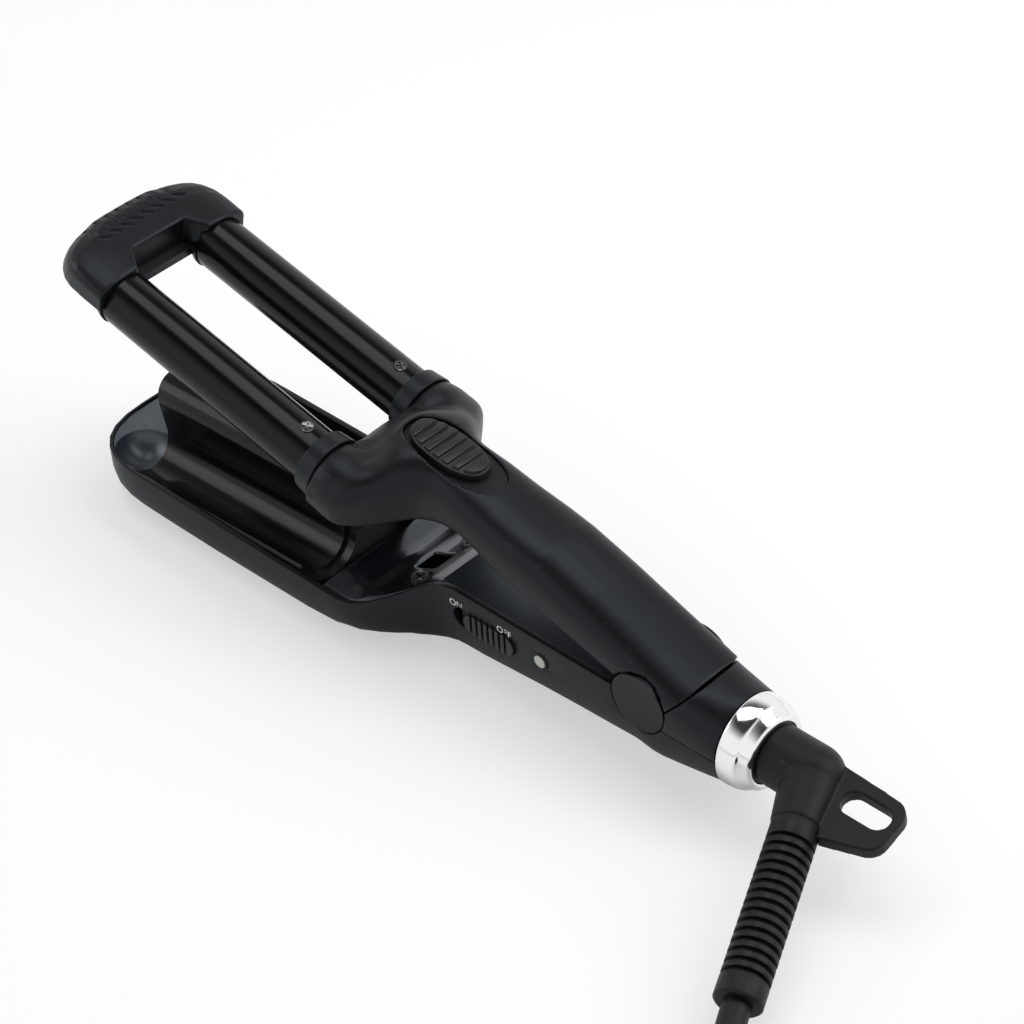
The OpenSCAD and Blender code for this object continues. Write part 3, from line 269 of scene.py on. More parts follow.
def turned(name, stations, sides=96):  # a ring drawn along x and scaled, station by station, in mm
    deselect()
    bpy.ops.mesh.primitive_circle_add(vertices=sides, radius=stations[0][1] / 1000,
                                      location=(stations[0][0] / 1000, 0, 0), rotation=(0, math.pi / 2, 0))
    piece = settled(bpy.context.object)
    piece.name = name
    bpy.ops.object.mode_set(mode="EDIT")
    bpy.ops.mesh.select_all(action="SELECT")
    for (x0, r0), (x1, r1) in zip(stations, stations[1:]):
        bpy.ops.mesh.extrude_edges_move(TRANSFORM_OT_translate={"value": ((x1 - x0) / 1000, 0, 0)})
        bpy.ops.transform.resize(value=(1, r1 / r0, r1 / r0), center_override=(x1 / 1000, 0, 0))
    bpy.ops.mesh.select_all(action="SELECT")
    bpy.ops.mesh.remove_doubles(threshold=0.000002)
    bpy.ops.mesh.fill_holes(sides=0)
    bpy.ops.mesh.select_all(action="SELECT")
    bpy.ops.mesh.normals_make_consistent(inside=False)
    bpy.ops.object.mode_set(mode="OBJECT")
    return piece


def cutBy(piece, cutter):  # boolean, and the cutter goes
    applied(piece, "BOOLEAN", operation="DIFFERENCE", solver="EXACT", object=cutter)
    bpy.data.objects.remove(cutter)
    return piece


def dressed(piece, node, finish):  # stands for the node, on the node's body, in this finish
    piece.data.materials.clear()
    piece.data.materials.append(finish)
    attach(piece, nodes[node]["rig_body"])
    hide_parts(node)
    return piece


# finishes
def nodeGroup(name, inputs, outputs):  # a group with named sockets, and its two end nodes
    group = bpy.data.node_groups.new(name, "ShaderNodeTree")
    for label, value in inputs:
        socket = group.interface.new_socket(name=label, in_out="INPUT", socket_type="NodeSocketFloat")
        socket.default_value = value
    for label in outputs:
        group.interface.new_socket(name=label, in_out="OUTPUT", socket_type="NodeSocketFloat")
    return group, group.nodes.new("NodeGroupInput"), group.nodes.new("NodeGroupOutput")


def addNoise(tree, scale, detail=3.0, rough=0.5, coords=None):
    node = tree.nodes.new("ShaderNodeTexNoise")
    node.inputs["Detail"].default_value = detail
    node.inputs["Roughness"].default_value = rough
    if hasattr(scale, "is_linked"):
        tree.links.new(scale, node.inputs["Scale"])
    else:
        node.inputs["Scale"].default_value = scale
    where = coords or tree.nodes.new("ShaderNodeTexCoord").outputs["Object"]
    tree.links.new(where, node.inputs["Vector"])
    return node.outputs["Fac"]


wearLook = {"mottleScale": 45.0, "smearScale": 60.0, "smearFrom": 0.45, "smearGain": 3.0,
            "scratchTurn": (0.3, 0.2, 0.7), "scratchStretch": (40.0, 900.0, 900.0), "scratchFrom": 0.70,
            "edgeFrom": 0.515, "edgeGain": 14.0, "edgeScale": 220.0}


def makeGrain():  # fine moulded grain, and slow mottling of the coat
    group, given, out = nodeGroup("mouldGrain", [("Scale", 2400.0), ("Depth", 0.5)], ["Height", "Mottle"])
    fine = addNoise(group, given.outputs["Scale"], 4.0, 0.65)
    height = addMath(group, "MULTIPLY", fine, given.outputs["Depth"])
    slow = addNoise(group, wearLook["mottleScale"], 3.0)
    group.links.new(height, out.inputs["Height"])
    group.links.new(slow, out.inputs["Mottle"])
    return group


def makeHandling():  # smears and small scratches left by use, from 0 to 1
    group, given, out = nodeGroup("handlingMarks", [("Smears", 0.5), ("Scratches", 0.3)], ["Marks", "Lines"])
    coords = group.nodes.new("ShaderNodeTexCoord").outputs["Object"]
    smear = addNoise(group, wearLook["smearScale"], 5.0, 0.6, coords)
    smear = addMath(group, "SUBTRACT", smear, wearLook["smearFrom"])
    smear = addMath(group, "MAXIMUM", smear, 0.0)
    smear = addMath(group, "MULTIPLY", smear, wearLook["smearGain"])
    smear = addMath(group, "MULTIPLY", smear, given.outputs["Smears"])
    turn = group.nodes.new("ShaderNodeMapping")
    turn.inputs["Rotation"].default_value = wearLook["scratchTurn"]
    turn.inputs["Scale"].default_value = wearLook["scratchStretch"]
    group.links.new(coords, turn.inputs["Vector"])
    line = addNoise(group, 1.0, 2.0, 0.5, turn.outputs["Vector"])
    line = addMath(group, "GREATER_THAN", line, wearLook["scratchFrom"])
    line = addMath(group, "MULTIPLY", line, given.outputs["Scratches"])
    group.links.new(smear, out.inputs["Marks"])
    group.links.new(line, out.inputs["Lines"])
    return group


def makeEdges():  # rubbed edges, from the shape itself
    group, given, out = nodeGroup("rubbedEdges", [("Reach", 0.6)], ["Mask"])
    shape = group.nodes.new("ShaderNodeNewGeometry")
    sharp = addMath(group, "SUBTRACT", shape.outputs["Pointiness"], wearLook["edgeFrom"])
    sharp = addMath(group, "MULTIPLY", sharp, wearLook["edgeGain"])
    sharp = addMath(group, "MULTIPLY", sharp, addNoise(group, wearLook["edgeScale"], 4.0))
    sharp = addMath(group, "MULTIPLY", sharp, given.outputs["Reach"])
    sharp = addMath(group, "MAXIMUM", sharp, 0.0)
    sharp = addMath(group, "MINIMUM", sharp, 1.0)
    group.links.new(sharp, out.inputs["Mask"])
    return group


grainGroup, marksGroup, edgeGroup = makeGrain(), makeHandling(), makeEdges()

# what a finish has where its own look doesn't say
usualLook = {"metal": 0.0, "ior": 1.48, "coat": 0.0, "coatRoughness": 0.05, "specular": 0.5, "tint": (1, 1, 1),
             "grain": 2400.0, "depth": 0.5, "bump": 0.25, "bumpHeight": 0.0002, "smears": 0.4, "smearRough": 0.12,
             "scratches": 0.2, "scratchRough": 0.15, "edges": 0.5, "mottle": 0.82}


def makeFinish(name, look):
    look = {**usualLook, **look}
    finish = bpy.data.materials.new(name)
    finish.use_nodes = True
    tree = finish.node_tree
    skin = tree.nodes["Principled BSDF"]
    for label, key in (("Metallic", "metal"), ("IOR", "ior"), ("Coat Weight", "coat"),
                       ("Coat Roughness", "coatRoughness"), ("Specular IOR Level", "specular")):
        skin.inputs[label].default_value = look[key]
    skin.inputs["Specular Tint"].default_value = (*look["tint"], 1)
    grain = tree.nodes.new("ShaderNodeGroup")
    grain.node_tree = grainGroup
    grain.inputs["Scale"].default_value = look["grain"]
    grain.inputs["Depth"].default_value = look["depth"]
    marks = tree.nodes.new("ShaderNodeGroup")
    marks.node_tree = marksGroup
    marks.inputs["Smears"].default_value = look["smears"]
    marks.inputs["Scratches"].default_value = look["scratches"]
    edges = tree.nodes.new("ShaderNodeGroup")
    edges.node_tree = edgeGroup
    edges.inputs["Reach"].default_value = look["edges"]
    base = look["colour"]
    worn = look.get("worn", tuple(min(1.0, c * 1.8 + 0.01) for c in base))
    dark = tuple(c * look["mottle"] for c in base)
    body = tree.nodes.new("ShaderNodeMix")
    body.data_type = "RGBA"
    body.inputs["A"].default_value = (*dark, 1)
    body.inputs["B"].default_value = (*base, 1)
    tree.links.new(grain.outputs["Mottle"], body.inputs["Factor"])
    rub = tree.nodes.new("ShaderNodeMix")
    rub.data_type = "RGBA"
    rub.inputs["B"].default_value = (*worn, 1)
    tree.links.new(edges.outputs["Mask"], rub.inputs["Factor"])
    tree.links.new(body.outputs["Result"], rub.inputs["A"])
    tree.links.new(rub.outputs["Result"], skin.inputs["Base Color"])
    rough = addMath(tree, "MULTIPLY", marks.outputs["Marks"], look["smearRough"])
    rough = addMath(tree, "ADD", rough, look["roughness"])
    lines = addMath(tree, "MULTIPLY", marks.outputs["Lines"], look["scratchRough"])
    rough = addMath(tree, "ADD", rough, lines)
    tree.links.new(rough, skin.inputs["Roughness"])
    bump = tree.nodes.new("ShaderNodeBump")
    bump.inputs["Strength"].default_value = look["bump"]
    bump.inputs["Distance"].default_value = look["bumpHeight"]
    tree.links.new(grain.outputs["Height"], bump.inputs["Height"])
    tree.links.new(bump.outputs["Normal"], skin.inputs["Normal"])
    return finish


coolShine = (0.8, 0.9, 1.0)
looks = {
    "satin_black": {"colour": (0.0050, 0.0053, 0.0060), "roughness": 0.36, "specular": 0.26,
                    "tint": (0.80, 0.91, 1.0), "grain": 3000, "depth": 0.6, "bump": 0.10},
    "tip_cover_satin": {"colour": (0.030, 0.038, 0.049), "roughness": 0.34, "specular": 1.0, "tint": coolShine,
                        "grain": 3000, "bump": 0.08},
    "gloss_black": {"colour": (0.006, 0.007, 0.009), "roughness": 0.2, "specular": 1.0, "tint": coolShine,
                    "grain": 900, "depth": 0.2, "bump": 0.03, "smears": 0.3, "scratches": 0.1, "edges": 0.2},
    # inner panel: lighter and bluer than gloss black, a painted bluish sheen
    "panelPaintedSheen": {"colour": (0.010, 0.015, 0.020), "roughness": 0.3, "specular": 1.0, "tint": coolShine,
                   "grain": 900, "depth": 0.2, "bump": 0.03, "smears": 0.3, "scratches": 0.1, "edges": 0.2},
    "plate_black": {"colour": (0.003, 0.003, 0.004), "roughness": 0.17, "specular": 0.22, "grain": 1600,
                    "depth": 0.3, "bump": 0.04, "smears": 0.35, "scratches": 0.25, "edges": 0.25},
    "button_black": {"colour": (0.008, 0.009, 0.010), "roughness": 0.33, "specular": 0.4, "grain": 2800,
                     "bump": 0.12},
    "inner_plastic": {"colour": (0.03, 0.03, 0.032), "roughness": 0.5, "bump": 0.2},
    "black_screw": {"colour": (0.03, 0.03, 0.033), "roughness": 0.32, "metal": 0.7, "worn": (0.3, 0.3, 0.31),
                    "edges": 0.9, "grain": 1800},
    "zinc_screw": {"colour": (0.55, 0.56, 0.58), "roughness": 0.3, "metal": 1.0, "grain": 1500},
    "spring_steel": {"colour": (0.42, 0.43, 0.45), "roughness": 0.34, "metal": 1.0, "grain": 1200},
    "aluminium": {"colour": (0.7, 0.71, 0.73), "roughness": 0.35, "metal": 1.0, "grain": 1200},
    "ceramic": {"colour": (0.8, 0.78, 0.72), "roughness": 0.6, "grain": 900},
    "board_green": {"colour": (0.03, 0.14, 0.07), "roughness": 0.35, "grain": 600},
    "lens_clear": {"colour": (0.5, 0.5, 0.47), "roughness": 0.12, "coat": 0.8, "bump": 0.05},
    "ring_chrome": {"colour": (0.86, 0.87, 0.88), "roughness": 0.1, "metal": 1.0, "bump": 0.0, "mottle": 0.97,
                    "smears": 0.0, "scratches": 0.0, "edges": 0.0},
    "cord_rubber": {"colour": (0.006, 0.006, 0.0065), "roughness": 0.46, "specular": 0.22, "grain": 2200,
                    "depth": 0.8, "bump": 0.22},
    "tie_rubber": {"colour": (0.01, 0.01, 0.011), "roughness": 0.55, "specular": 0.25, "grain": 1800,
                   "depth": 0.8, "bump": 0.3},
    "pin_nickel": {"colour": (0.72, 0.7, 0.66), "roughness": 0.2, "metal": 1.0, "grain": 900},
    "letterWhite": {"colour": (0.75, 0.76, 0.78), "roughness": 0.4, "grain": 3000, "edges": 0.0, "mottle": 0.9},
}
finishes = {name: makeFinish(name, look) for name, look in looks.items()}
print("finishes made:", len(finishes))


# the mains cord, along the route of its CAD solids, in mm and degrees
# over each jog a turn moves over to the next, and near the lead the cord bends with the swivel
cordLook = {"diameter": 7.6, "sides": 20, "coilAt": (-193.5, 28), "radii": [54.9, 47.3, 39.7, 32.1],
            "jog": 60, "climbEarly": 20, "start": 90, "wound": 2730, "step": 6, "fine": 3, "bendFrom": -4, "near": 6,
            "lead": [(-73.99, 60.6, 8.52), (-75.21, 63.34, 7.91), (-77.15, 67.08, 7.13), (-79.57, 70.53, 6.43),
                     (-82.4, 73.65, 5.81), (-85.61, 76.38, 5.28), (-89.14, 78.67, 4.82), (-92.93, 80.5, 4.45),
                     (-96.93, 81.83, 4.17), (-101.06, 82.63, 3.96), (-105.26, 82.9, 3.84), (-120, 82.9, 3.8),
                     (-145, 82.9, 3.8), (-170, 82.9, 3.8)],
            "tail": [(-159.54, -14.83, 11.81), (-153.79, -8.81, 12.89), (-148.88, -1.78, 14.43),
                     (-144.91, 5.97, 16.23), (-141.97, 14.13, 18.07), (-140.15, 22.41, 19.74),
                     (-139.54, 30.5, 21.03), (-140.25, 38.12, 21.73), (-142.35, 44.96, 21.8),
                     (-145.6, 50.3, 21.8), (-149.5, 54.4, 21.8), (-153.7, 56.85, 21.8),
                     (-157.96, 57.83, 21.8)]}


def eased(a, b, x):
    s = max(0.0, min(1.0, (x - a) / (b - a)))
    return s * s * (3 - 2 * s)


def coilPoint(wound):  # a point of the winding, by the angle wound so far
    radii, jog, rise = cordLook["radii"], cordLook["jog"], cordLook["diameter"]
    climb = 360 * len(radii) - 2 * jog
    radius = radii[0]
    for i in range(1, len(radii)):
        radius += (radii[i] - radii[i - 1]) * eased(360 * i - jog, 360 * i, wound)
    for i in range(1, len(radii)):
        at = 360 * (len(radii) + i) - jog
        radius += (radii[-1 - i] - radii[-i]) * eased(at, at + jog, wound)
    height = rise / 2 + rise * eased(climb - cordLook["climbEarly"], climb + jog, wound)
    a = math.radians(cordLook["start"] + wound)
    return (cordLook["coilAt"][0] + radius * math.cos(a), cordLook["coilAt"][1] + radius * math.sin(a), height)


def cordRoute():
    wound = cordLook["wound"]
    count = int(wound / cordLook["step"])
    coil = [coilPoint(wound * i / count) for i in range(count + 1)]
    return [low(*p) for p in cordLook["lead"] + coil + cordLook["tail"]]


def smoothPath(points):  # a finer path through the points
    fine, per = [], cordLook["fine"]
    for i in range(len(points) - 1):
        p0, p1 = points[max(i - 1, 0)], points[i]
        p2, p3 = points[i + 1], points[min(i + 2, len(points) - 1)]
        for k in range(per):
            s = k / per
            fine.append(0.5 * (2 * p1 + (p2 - p0) * s + (2 * p0 - 5 * p1 + 4 * p2 - p3) * s * s
                               + (3 * p1 - p0 - 3 * p2 + p3) * s ** 3))
    return fine + [points[-1]]


def addCord():
    points = cordRoute()
    lead = len(cordLook["lead"])
    tail = len(points) - len(cordLook["tail"])
    path = smoothPath(points[:lead + 1])[:-1] + points[lead:tail - 1] + smoothPath(points[tail - 1:])
    curve = bpy.data.curves.new("cord", "CURVE")
    curve.dimensions = "3D"
    curve.bevel_depth = cordLook["diameter"] / 2000
    curve.bevel_resolution = cordLook["sides"] // 4 - 2
    curve.use_fill_caps = True
    spline = curve.splines.new("POLY")
    spline.points.add(len(path) - 1)
    for point, where in zip(spline.points, path):
        point.co = (*where, 1)
    cord = bpy.data.objects.new("mainsCord", curve)
    scene.collection.objects.link(cord)
    pick(cord)
    bpy.ops.object.convert(target="MESH")
    cord = bpy.context.object
    smoothed(cord, 60)
    cord.data.materials.clear()
    cord.data.materials.append(finishes["cord_rubber"])
    far, exit = low(*cordLook["lead"][cordLook["bendFrom"]]), low(*cordLook["lead"][0])
    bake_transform(cord, "lower_arm", "cord_swivel", start=far, end=exit)
    weights = cord.data.attributes["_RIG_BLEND"]
    leadPoints = path[:cordLook["fine"] * (lead + cordLook["bendFrom"] + 1)]
    for i, vertex in enumerate(cord.data.vertices):  # the winding stays on the table
        if min((vertex.co - p).length for p in leadPoints) > cordLook["near"] / 1000:
            weights.data[i].value = 0.0
    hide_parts("cord_lead", "cord_coil", "cord_tail")
    length = sum((b - a).length for a, b in zip(path, path[1:]))
    print("cord length", round(length, 4))
    return cord, exit, [tuple(p) for p in path], length


addCamera()
addLight()
addFloor()
cord, cordExit, cordPath, cordLength = addCord()
print("camera, light, floor and cord made")


# barrels: plain tubes, spot-faced for the screw near the collar
barrelLook = {"start": 109.2, "end": 192.8, "radius": 8.0, "inside": 6.6, "screw": 118.7, "spot": 2.0, "deep": 0.7,
              "cutter": 3.0, "apart": 17.6, "rows": [116.0, 121.4, 135, 150, 165, 180]}


def addBarrels():
    b = barrelLook
    for node, y in (("barrel_near", b["apart"]), ("barrel_far", -b["apart"])):
        outside = [(t, b["radius"]) for t in [b["start"]] + b["rows"] + [b["end"]]]
        inside = [(b["end"], b["inside"]), (b["start"], b["inside"]), (b["start"], b["radius"])]
        piece = turned(node.replace("_", "-"), outside + inside, 128)
        bpy.ops.mesh.primitive_cylinder_add(
            vertices=48, radius=b["spot"] / 1000, depth=b["cutter"] / 1000,
            location=(b["screw"] / 1000, 0, (b["radius"] - b["deep"] + b["cutter"] / 2) / 1000))
        cutBy(piece, bpy.context.object)
        piece.matrix_world = armAxes(y)
        settled(piece)
        smoothed(piece, 30)
        dressed(piece, node, finishes["plate_black"])
        print(node, "turned,", len(piece.data.polygons), "faces")


# rear ring: turned, with softened corners
ringLook = {"at": -25.7, "outline": [  # back from its front face, and radius
    (0, 8.9), (0, 12.6), (-0.12, 12.9), (-0.35, 13.06), (-0.6, 13.1), (-2.2, 13.05), (-3.8, 12.9), (-5.0, 12.68),
    (-5.6, 12.48), (-6.0, 12.15), (-6.3, 11.8), (-8.6, 10.9), (-9.0, 10.55), (-9.3, 10.1), (-9.4, 9.6), (-9.4, 9.2),
    (-9.2, 8.9), (0, 8.9)]}


def addRing():
    piece = turned("rear-ring", [(ringLook["at"] + x, r) for x, r in ringLook["outline"]], 128)
    piece.location = low(0, 0, place["ringZ"])
    settled(piece)
    smoothed(piece, 40)
    dressed(piece, "rear_ring", finishes["ring_chrome"])
    print("rear_ring turned,", len(piece.data.polygons), "faces")


# wave plate: bent sheet, drawn as rows of its outline
plateLook = {"start": 110, "end": 187.4, "proud": 0.14, "thick": 1.6, "channel": 8.9, "apart": 17.6,
             "lip": 24, "shoulder": 7.4, "ridge": 14.6, "lean": 11, "clip": 26.1, "step": 113.6, "collar": 10.0,
             "rows": 12, "channelSteps": 40, "ridgeSteps": 20, "crestPower": 0.8, "edge": 0.25}


def plateSide(inset, collar=False):  # lip, channel, flank and half of the ridge
    p = plateLook
    r = p["channel"] + inset
    points = []
    grow = p["collar"] if collar else r
    for i in range(p["channelSteps"] + 1):
        a = math.radians(-p["lip"] - (180 - p["lip"]) * i / p["channelSteps"])
        points.append((p["apart"] + grow * math.cos(a), grow * math.sin(a)))
    half = p["apart"] - p["channel"] - inset
    crest = p["ridge"] - inset - p["shoulder"]
    for i in range(p["ridgeSteps"]):
        a = math.radians(90 * i / p["ridgeSteps"])
        y = half * math.cos(a) ** p["crestPower"]
        points.append((min(y, p["apart"] - p["collar"]) if collar else y, p["shoulder"] + crest * math.sin(a)))
    return [(min(y, p["clip"]), z) for y, z in points]


def plateOutline(inset, collar=False):
    side = plateSide(inset, collar)
    return side + [(0, plateLook["ridge"] - inset)] + [(-y, z) for y, z in reversed(side)]


def addWavePlate():
    p = plateLook
    under = plateOutline(p["thick"])
    rows = [(p["start"], True), (p["step"], True), (p["step"], False)]
    rows += [(p["step"] + (p["end"] - p["step"]) * i / p["rows"], False) for i in range(1, p["rows"] + 1)]
    points, faces = [], []
    for x, collar in rows:
        for y, z in plateOutline(-p["proud"], collar) + under:
            lean = (z + p["channel"]) * math.tan(math.radians(p["lean"])) if x == p["end"] else 0
            points.append((x + lean, y, z))
    n = len(under)
    for r in range(len(rows) - 1):
        a, b = 2 * n * r, 2 * n * (r + 1)
        if rows[r][0] == rows[r + 1][0]:  # the collar step is on top only
            faces += [(a + j, a + j + 1, b + j + 1, b + j) for j in range(n - 1)]
            continue
        faces += [(a + j, a + j + 1, b + j + 1, b + j) for j in range(n - 1)]
        faces += [(a + n + j + 1, a + n + j, b + n + j, b + n + j + 1) for j in range(n - 1)]
        faces += [(a + n, a, b, b + n), (a + n - 1, a + 2 * n - 1, b + 2 * n - 1, b + n - 1)]
    last = 2 * n * (len(rows) - 1)
    faces += [(j + 1, j, n + j, n + j + 1) for j in range(n - 1)]
    faces += [(last + j, last + j + 1, last + n + j + 1, last + n + j) for j in range(n - 1)]
    mesh = bpy.data.meshes.new("wave-plate")
    mesh.from_pydata([(x / 1000, y / 1000, z / 1000) for x, y, z in points], [], faces)
    piece = bpy.data.objects.new("wave-plate", mesh)
    scene.collection.objects.link(piece)
    piece.matrix_world = Matrix.Translation(low(0, 0, place["hingeZ"])) @ Matrix.Rotation(
        math.radians(place["plateAngle"]), 4, "Y")
    settled(piece)
    bpy.ops.object.mode_set(mode="EDIT")
    bpy.ops.mesh.select_all(action="SELECT")
    bpy.ops.mesh.remove_doubles(threshold=0.000001)
    bpy.ops.mesh.normals_make_consistent(inside=False)
    bpy.ops.object.mode_set(mode="OBJECT")
    rounded(piece, p["edge"], 3, 40, flat=True)
    dressed(piece, "wave_plate", finishes["plate_black"])
    print("wave_plate bent,", len(piece.data.polygons), "faces")


# outer tip cap: remeshed, with the finger grooves pressed in
capLook = {"voxel": 0.25, "rounds": 6, "grooves": 8, "pitch": 3.93, "first": 14.0, "start": 213.2, "bend": 207.0,
           "foot": (-1.9, -2.4), "half": 0.72, "rim": (0.45, 1.25), "deep": 0.85, "height": 5.0, "footPast": 4.0,
           "startPast": 1.5}


def fromArm(point):  # back from metres to the open arm's own t, y, n
    a = math.radians(place["openAngle"])
    x, y, z = point[0] * 1000 + place["restX"], point[1] * 1000, point[2] * 1000 - place["hingeZ"]
    return x * math.cos(a) + z * math.sin(a), y, -x * math.sin(a) + z * math.cos(a)


def awayFrom(p, a, b):  # distance from p to the stretch a-b, in the plane
    d = (b[0] - a[0], b[1] - a[1])
    s = max(0.0, min(1.0, ((p[0] - a[0]) * d[0] + (p[1] - a[1]) * d[1]) / (d[0] ** 2 + d[1] ** 2)))
    return math.hypot(p[0] - a[0] - s * d[0], p[1] - a[1] - s * d[1])


def addTipCap():
    c = capLook
    piece = nodeCopy("tip-cap-outer", "tip_cap_outer")
    applied(piece, "REMESH", mode="VOXEL", voxel_size=c["voxel"] / 1000, use_smooth_shade=True)
    applied(piece, "CORRECTIVE_SMOOTH", factor=0.5, iterations=c["rounds"], use_only_smooth=True)
    down = arm(0, 0, 1) - arm(0, 0, 0)
    for vertex in piece.data.vertices:
        t, y, n = fromArm(vertex.co)
        if n < c["height"] or t > c["start"] + c["startPast"] or t < c["bend"] - c["footPast"]:
            continue
        near = 9.0  # mm to the nearest groove
        for i in range(c["grooves"]):
            y0 = c["first"] - i * c["pitch"]
            if abs(y - y0 - c["foot"][1] / 2) < c["footPast"]:
                bend = (c["bend"], y0)
                near = min(near, awayFrom((t, y), (c["start"], y0), bend),
                           awayFrom((t, y), bend, (bend[0] + c["foot"][0], y0 + c["foot"][1])))
        press = c["deep"] * (1 - eased(*(share * c["half"] for share in c["rim"]), near))
        if press > 0:
            vertex.co -= down * press
    smoothed(piece, 60)
    dressed(piece, "tip_cap_outer", finishes["satin_black"])
    print("tip_cap_outer grooved,", len(piece.data.polygons), "faces")


# upper casing, elbow and neck cover: remeshed, so that moulded surfaces run smoothly
softWork = {  # voxel in mm, and rounds of smoothing
    "upper_casing": (0.45, 10), "swivel_elbow": (0.3, 10), "neck_cover": (0.3, 30)}
swellLook = {"from": (50, 66), "to": (99, 103), "above": (-2, 4), "holeTop": 8, "holeLong": 20.5, "holeWide": 11,
             "holeBack": 2, "holeFade": 0.5, "rounds": 60}


def evenOut(piece):  # the swelling round the barrel roots, away from its rims and the thumb piece
    w = swellLook
    group = piece.vertex_groups.new(name="swelling")
    for i, vertex in enumerate(piece.data.vertices):
        t, y, n = fromArm(vertex.co)
        s = (t - place["lockT"] + w["holeBack"]) / w["holeLong"]
        hole = max(0.0, s * s + (y / w["holeWide"]) ** 2 - 1) if n > w["holeTop"] else 1.0
        weight = eased(*w["from"], t) * (1 - eased(*w["to"], t))
        weight = weight * eased(*w["above"], n) * eased(0.0, w["holeFade"], hole)
        if weight > 0.01:
            group.add([i], weight, "REPLACE")
    applied(piece, "SMOOTH", factor=0.5, iterations=w["rounds"], vertex_group="swelling")


def addSoft():
    for node, (voxel, rounds) in softWork.items():
        piece = nodeCopy(node.replace("_", "-"), node)
        applied(piece, "REMESH", mode="VOXEL", voxel_size=voxel / 1000, use_smooth_shade=True)
        applied(piece, "SMOOTH", factor=0.5, iterations=rounds)
        if node == "upper_casing":
            evenOut(piece)
        smoothed(piece, 50)
        dressed(piece, node, finishes[slotOf[node]])
        print(node, "remeshed,", len(piece.data.polygons), "faces")


# thumb recess: the floor of the oval hole that the thumb piece slides in
recessLook = {"middle": -2, "long": 34.3, "wide": 14.9, "sides": 72, "squareness": 0.85, "top": -2.05, "thick": 0.8,
              "window": (-3, 9.5, 3.4), "cutter": 6.0}  # the hook's window: from, to and half its width


def addRecess():
    r = recessLook
    deselect()
    bpy.ops.mesh.primitive_circle_add(vertices=r["sides"], radius=1, fill_type="NGON")
    piece = bpy.context.object
    piece.name = "lock-recess"
    for i, vertex in enumerate(piece.data.vertices):
        a = math.radians(360 / r["sides"] * i)
        c, s = (math.copysign(abs(v) ** r["squareness"], v) for v in (math.cos(a), math.sin(a)))
        vertex.co = onLock(r["middle"] + r["long"] / 2 * c, r["wide"] / 2 * s, r["top"])
    bpy.ops.object.mode_set(mode="EDIT")
    bpy.ops.mesh.select_all(action="SELECT")
    bpy.ops.mesh.extrude_region_move(TRANSFORM_OT_translate={"value": onLock(0, 0, -r["thick"]) - onLock(0, 0, 0)})
    bpy.ops.mesh.select_all(action="SELECT")
    bpy.ops.mesh.normals_make_consistent(inside=False)
    bpy.ops.object.mode_set(mode="OBJECT")
    a, b, half = r["window"]
    bpy.ops.mesh.primitive_cube_add(size=1, location=onLock((a + b) / 2, 0, r["top"]),
                                    rotation=(0, math.radians(place["lockPitch"] - place["openAngle"]), 0))
    cutter = bpy.context.object
    cutter.scale = ((b - a) / 1000, 2 * half / 1000, r["cutter"] / 1000)
    cutBy(piece, cutter)
    smoothed(piece, 30)
    piece.data.materials.clear()
    piece.data.materials.append(finishes["satin_black"])
    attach(piece, "upper_arm")
    print("lock recess floored")


# switch lettering and the rim of the light, on the near side of the casing
signLook = {"size": 3.1, "thick": 0.05, "proud": 0.1, "castFrom": 40,
            "words": [("ON", 65.2, 24.3), ("OFF", 47.4, 24.6)]}


def onSide(x, z):  # the y of the casing's near side, in metres
    hit, spot = nodes["lower_casing"].ray_cast(low(x, signLook["castFrom"], z), (0, -1, 0))[:2]
    return spot.y if hit else place["handleHalf"] / 1000


def addSigns():
    for word, x, z in signLook["words"]:
        data = bpy.data.curves.new("sign" + word, "FONT")
        data.body = word
        data.size = signLook["size"] / 1000
        data.align_x, data.align_y = "CENTER", "CENTER"
        data.extrude = signLook["thick"] / 2000
        sign = bpy.data.objects.new("sign-" + word, data)
        scene.collection.objects.link(sign)
        pick(sign)
        bpy.ops.object.convert(target="MESH")
        sign = bpy.context.object
        sign.matrix_world = Matrix.Translation(low(x, 0, z)) @ Matrix(
            ((-1, 0, 0), (0, 0, 1), (0, 1, 0))).transposed().to_4x4()
        settled(sign)
        for vertex in sign.data.vertices:  # laid on the curved side
            side = onSide(vertex.co.x * 1000 + place["restX"], vertex.co.z * 1000)
            vertex.co.y += side + signLook["proud"] / 1000
        sign.data.materials.clear()
        sign.data.materials.append(finishes["letterWhite"])
        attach(sign, "lower_arm")
        print("sign", word, "laid on the casing")


bezelLook = {"x": 34.6, "z": 21.6, "outer": 2.75, "inner": 1.75, "proud": 0.3, "deep": 1.0, "soft": 0.2,
             "sideAt": 3.4}  # the casing is measured beside the hole


def addBezel():
    b = bezelLook
    y = onSide(b["x"] + b["sideAt"], b["z"]) * 1000
    front, back, soft = y + b["proud"], y - b["deep"], b["soft"]
    rim = turned("light-bezel", [(back, b["outer"]), (front - 0.75 * soft, b["outer"]), (front, b["outer"] - soft),
                                 (front, b["inner"] + soft), (front - soft, b["inner"]), (back, b["inner"]),
                                 (back, b["outer"])], 64)
    rim.matrix_world = Matrix.Translation(low(b["x"], 0, b["z"])) @ Matrix.Rotation(math.pi / 2, 4, "Z")
    settled(rim)
    smoothed(rim, 30)
    rim.data.materials.append(finishes["satin_black"])
    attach(rim, "lower_arm")
    print("light rim turned")


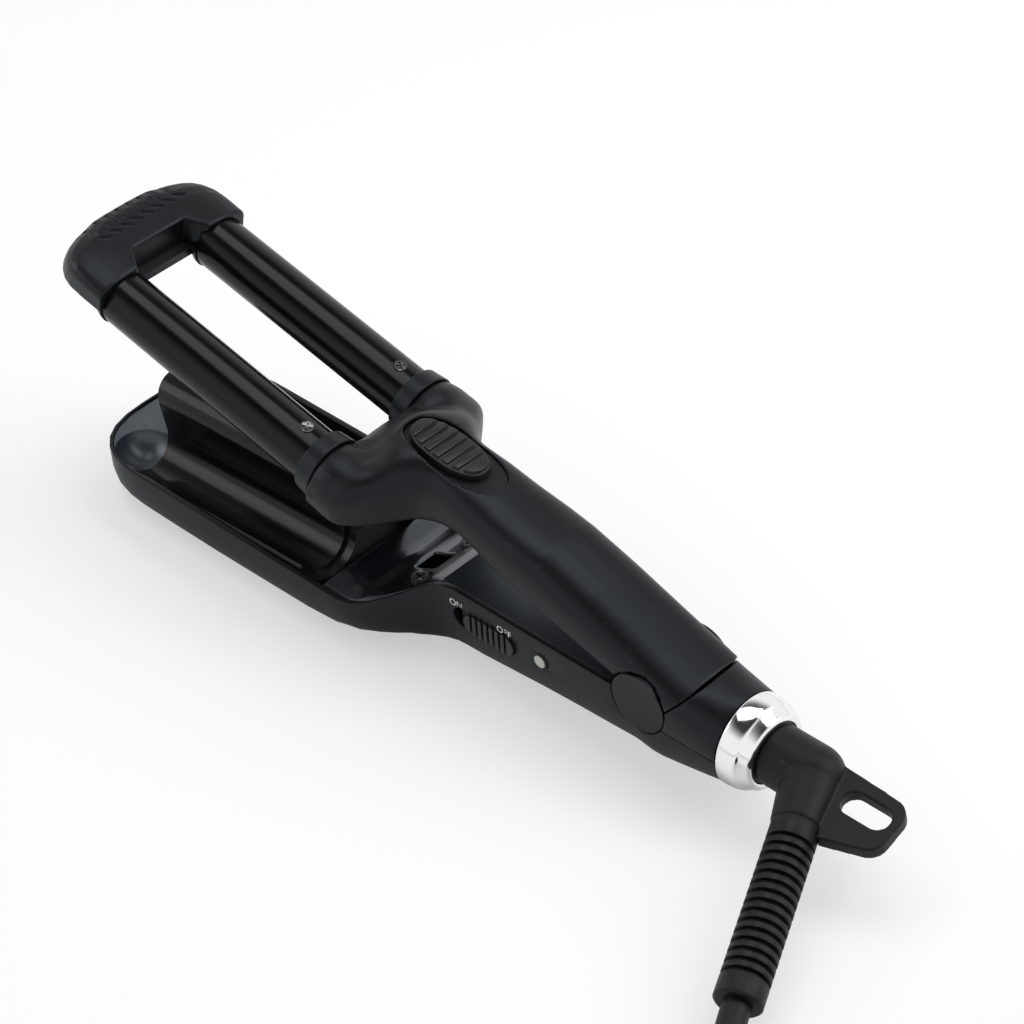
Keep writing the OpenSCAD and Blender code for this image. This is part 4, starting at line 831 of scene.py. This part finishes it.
# pieces that keep the shape of their CAD solid, with moulded edges
edgeWork = {  # bevel width in mm, segments, and the angle from which an edge is bevelled
    "lower_casing": (0.30, 2, 40), "rear_cover": (0.20, 2, 40), "tip_cover": (0.18, 2, 35),
    "inner_panel": (0.30, 2, 35), "yoke_cover": (0.25, 2, 35), "upper_inner_cover": (0.25, 2, 35),
    "pivot_cap_near": (0.40, 3, 35), "pivot_cap_far": (0.40, 3, 35),
    "collar_near": (0.30, 3, 35), "collar_far": (0.30, 3, 35),
    "barrel_screws": (0.08, 2, 35), "neck_screws": (0.10, 2, 35),
    "switch_button": (0.22, 2, 35), "light_body": (0.10, 2, 35), "light_lens": (0.20, 3, 35),
    "lock_button": (0.30, 3, 35), "tip_cap_inner": (0.25, 2, 35), "casing_screws": (0.10, 2, 35),
    "cover_screws": (0.10, 2, 35), "swivel_bush": (0.15, 2, 35), "strain_relief": (0.15, 2, 35),
    "plug_body": (0.4, 3, 35), "plug_pins": (0.4, 3, 35), "cord_tie": (0.3, 2, 35),
}
# pieces whose long faces keep their own normals
longFaces = ["inner_panel", "collar_near", "collar_far", "pivot_cap_near", "pivot_cap_far",
             "tip_cover", "tip_cap_inner", "yoke_cover", "plug_body", "plug_pins", "light_lens"]
reshapeLook = {"screwsDown": 0.6, "buttonShare": 0.9, "buttonMiddle": 0.5}


def lowScrews(piece):  # heads well inside their pocket
    for vertex in piece.data.vertices:
        vertex.co.z -= reshapeLook["screwsDown"] / 1000


def smallButton(piece):  # leaves the lip of its recess in view
    share = reshapeLook["buttonShare"]
    bpy.ops.object.mode_set(mode="EDIT")
    bpy.ops.mesh.select_all(action="SELECT")
    bpy.ops.transform.resize(value=(share, share, 1), center_override=onLock(reshapeLook["buttonMiddle"], 0, 0))
    bpy.ops.object.mode_set(mode="OBJECT")


reshape = {"neck_screws": lowScrews, "lock_button": smallButton}


def dressPlain():
    made = {}
    for node, (width, segments, angle) in edgeWork.items():
        piece = nodeCopy(node.replace("_", "-"), node)
        if node in reshape:
            reshape[node](piece)
        rounded(piece, width, segments, angle, flat=node in longFaces)
        # the inner panel takes the finish with the painted bluish sheen
        made[node] = dressed(piece, node, finishes["panelPaintedSheen" if node == "inner_panel" else slotOf[node]])
        print(node, "dressed,", len(piece.data.polygons), "faces")
    return made


def dressInside():  # the hidden solids stay as they are, with a finish
    for node, solid in nodes.items():
        if not solid.hide_render:
            solid.data.materials.clear()
            solid.data.materials.append(finishes[slotOf[node]])


addBarrels()
addRing()
addWavePlate()
addTipCap()
addSoft()
addRecess()
addSigns()
addBezel()
made = dressPlain()
dressInside()
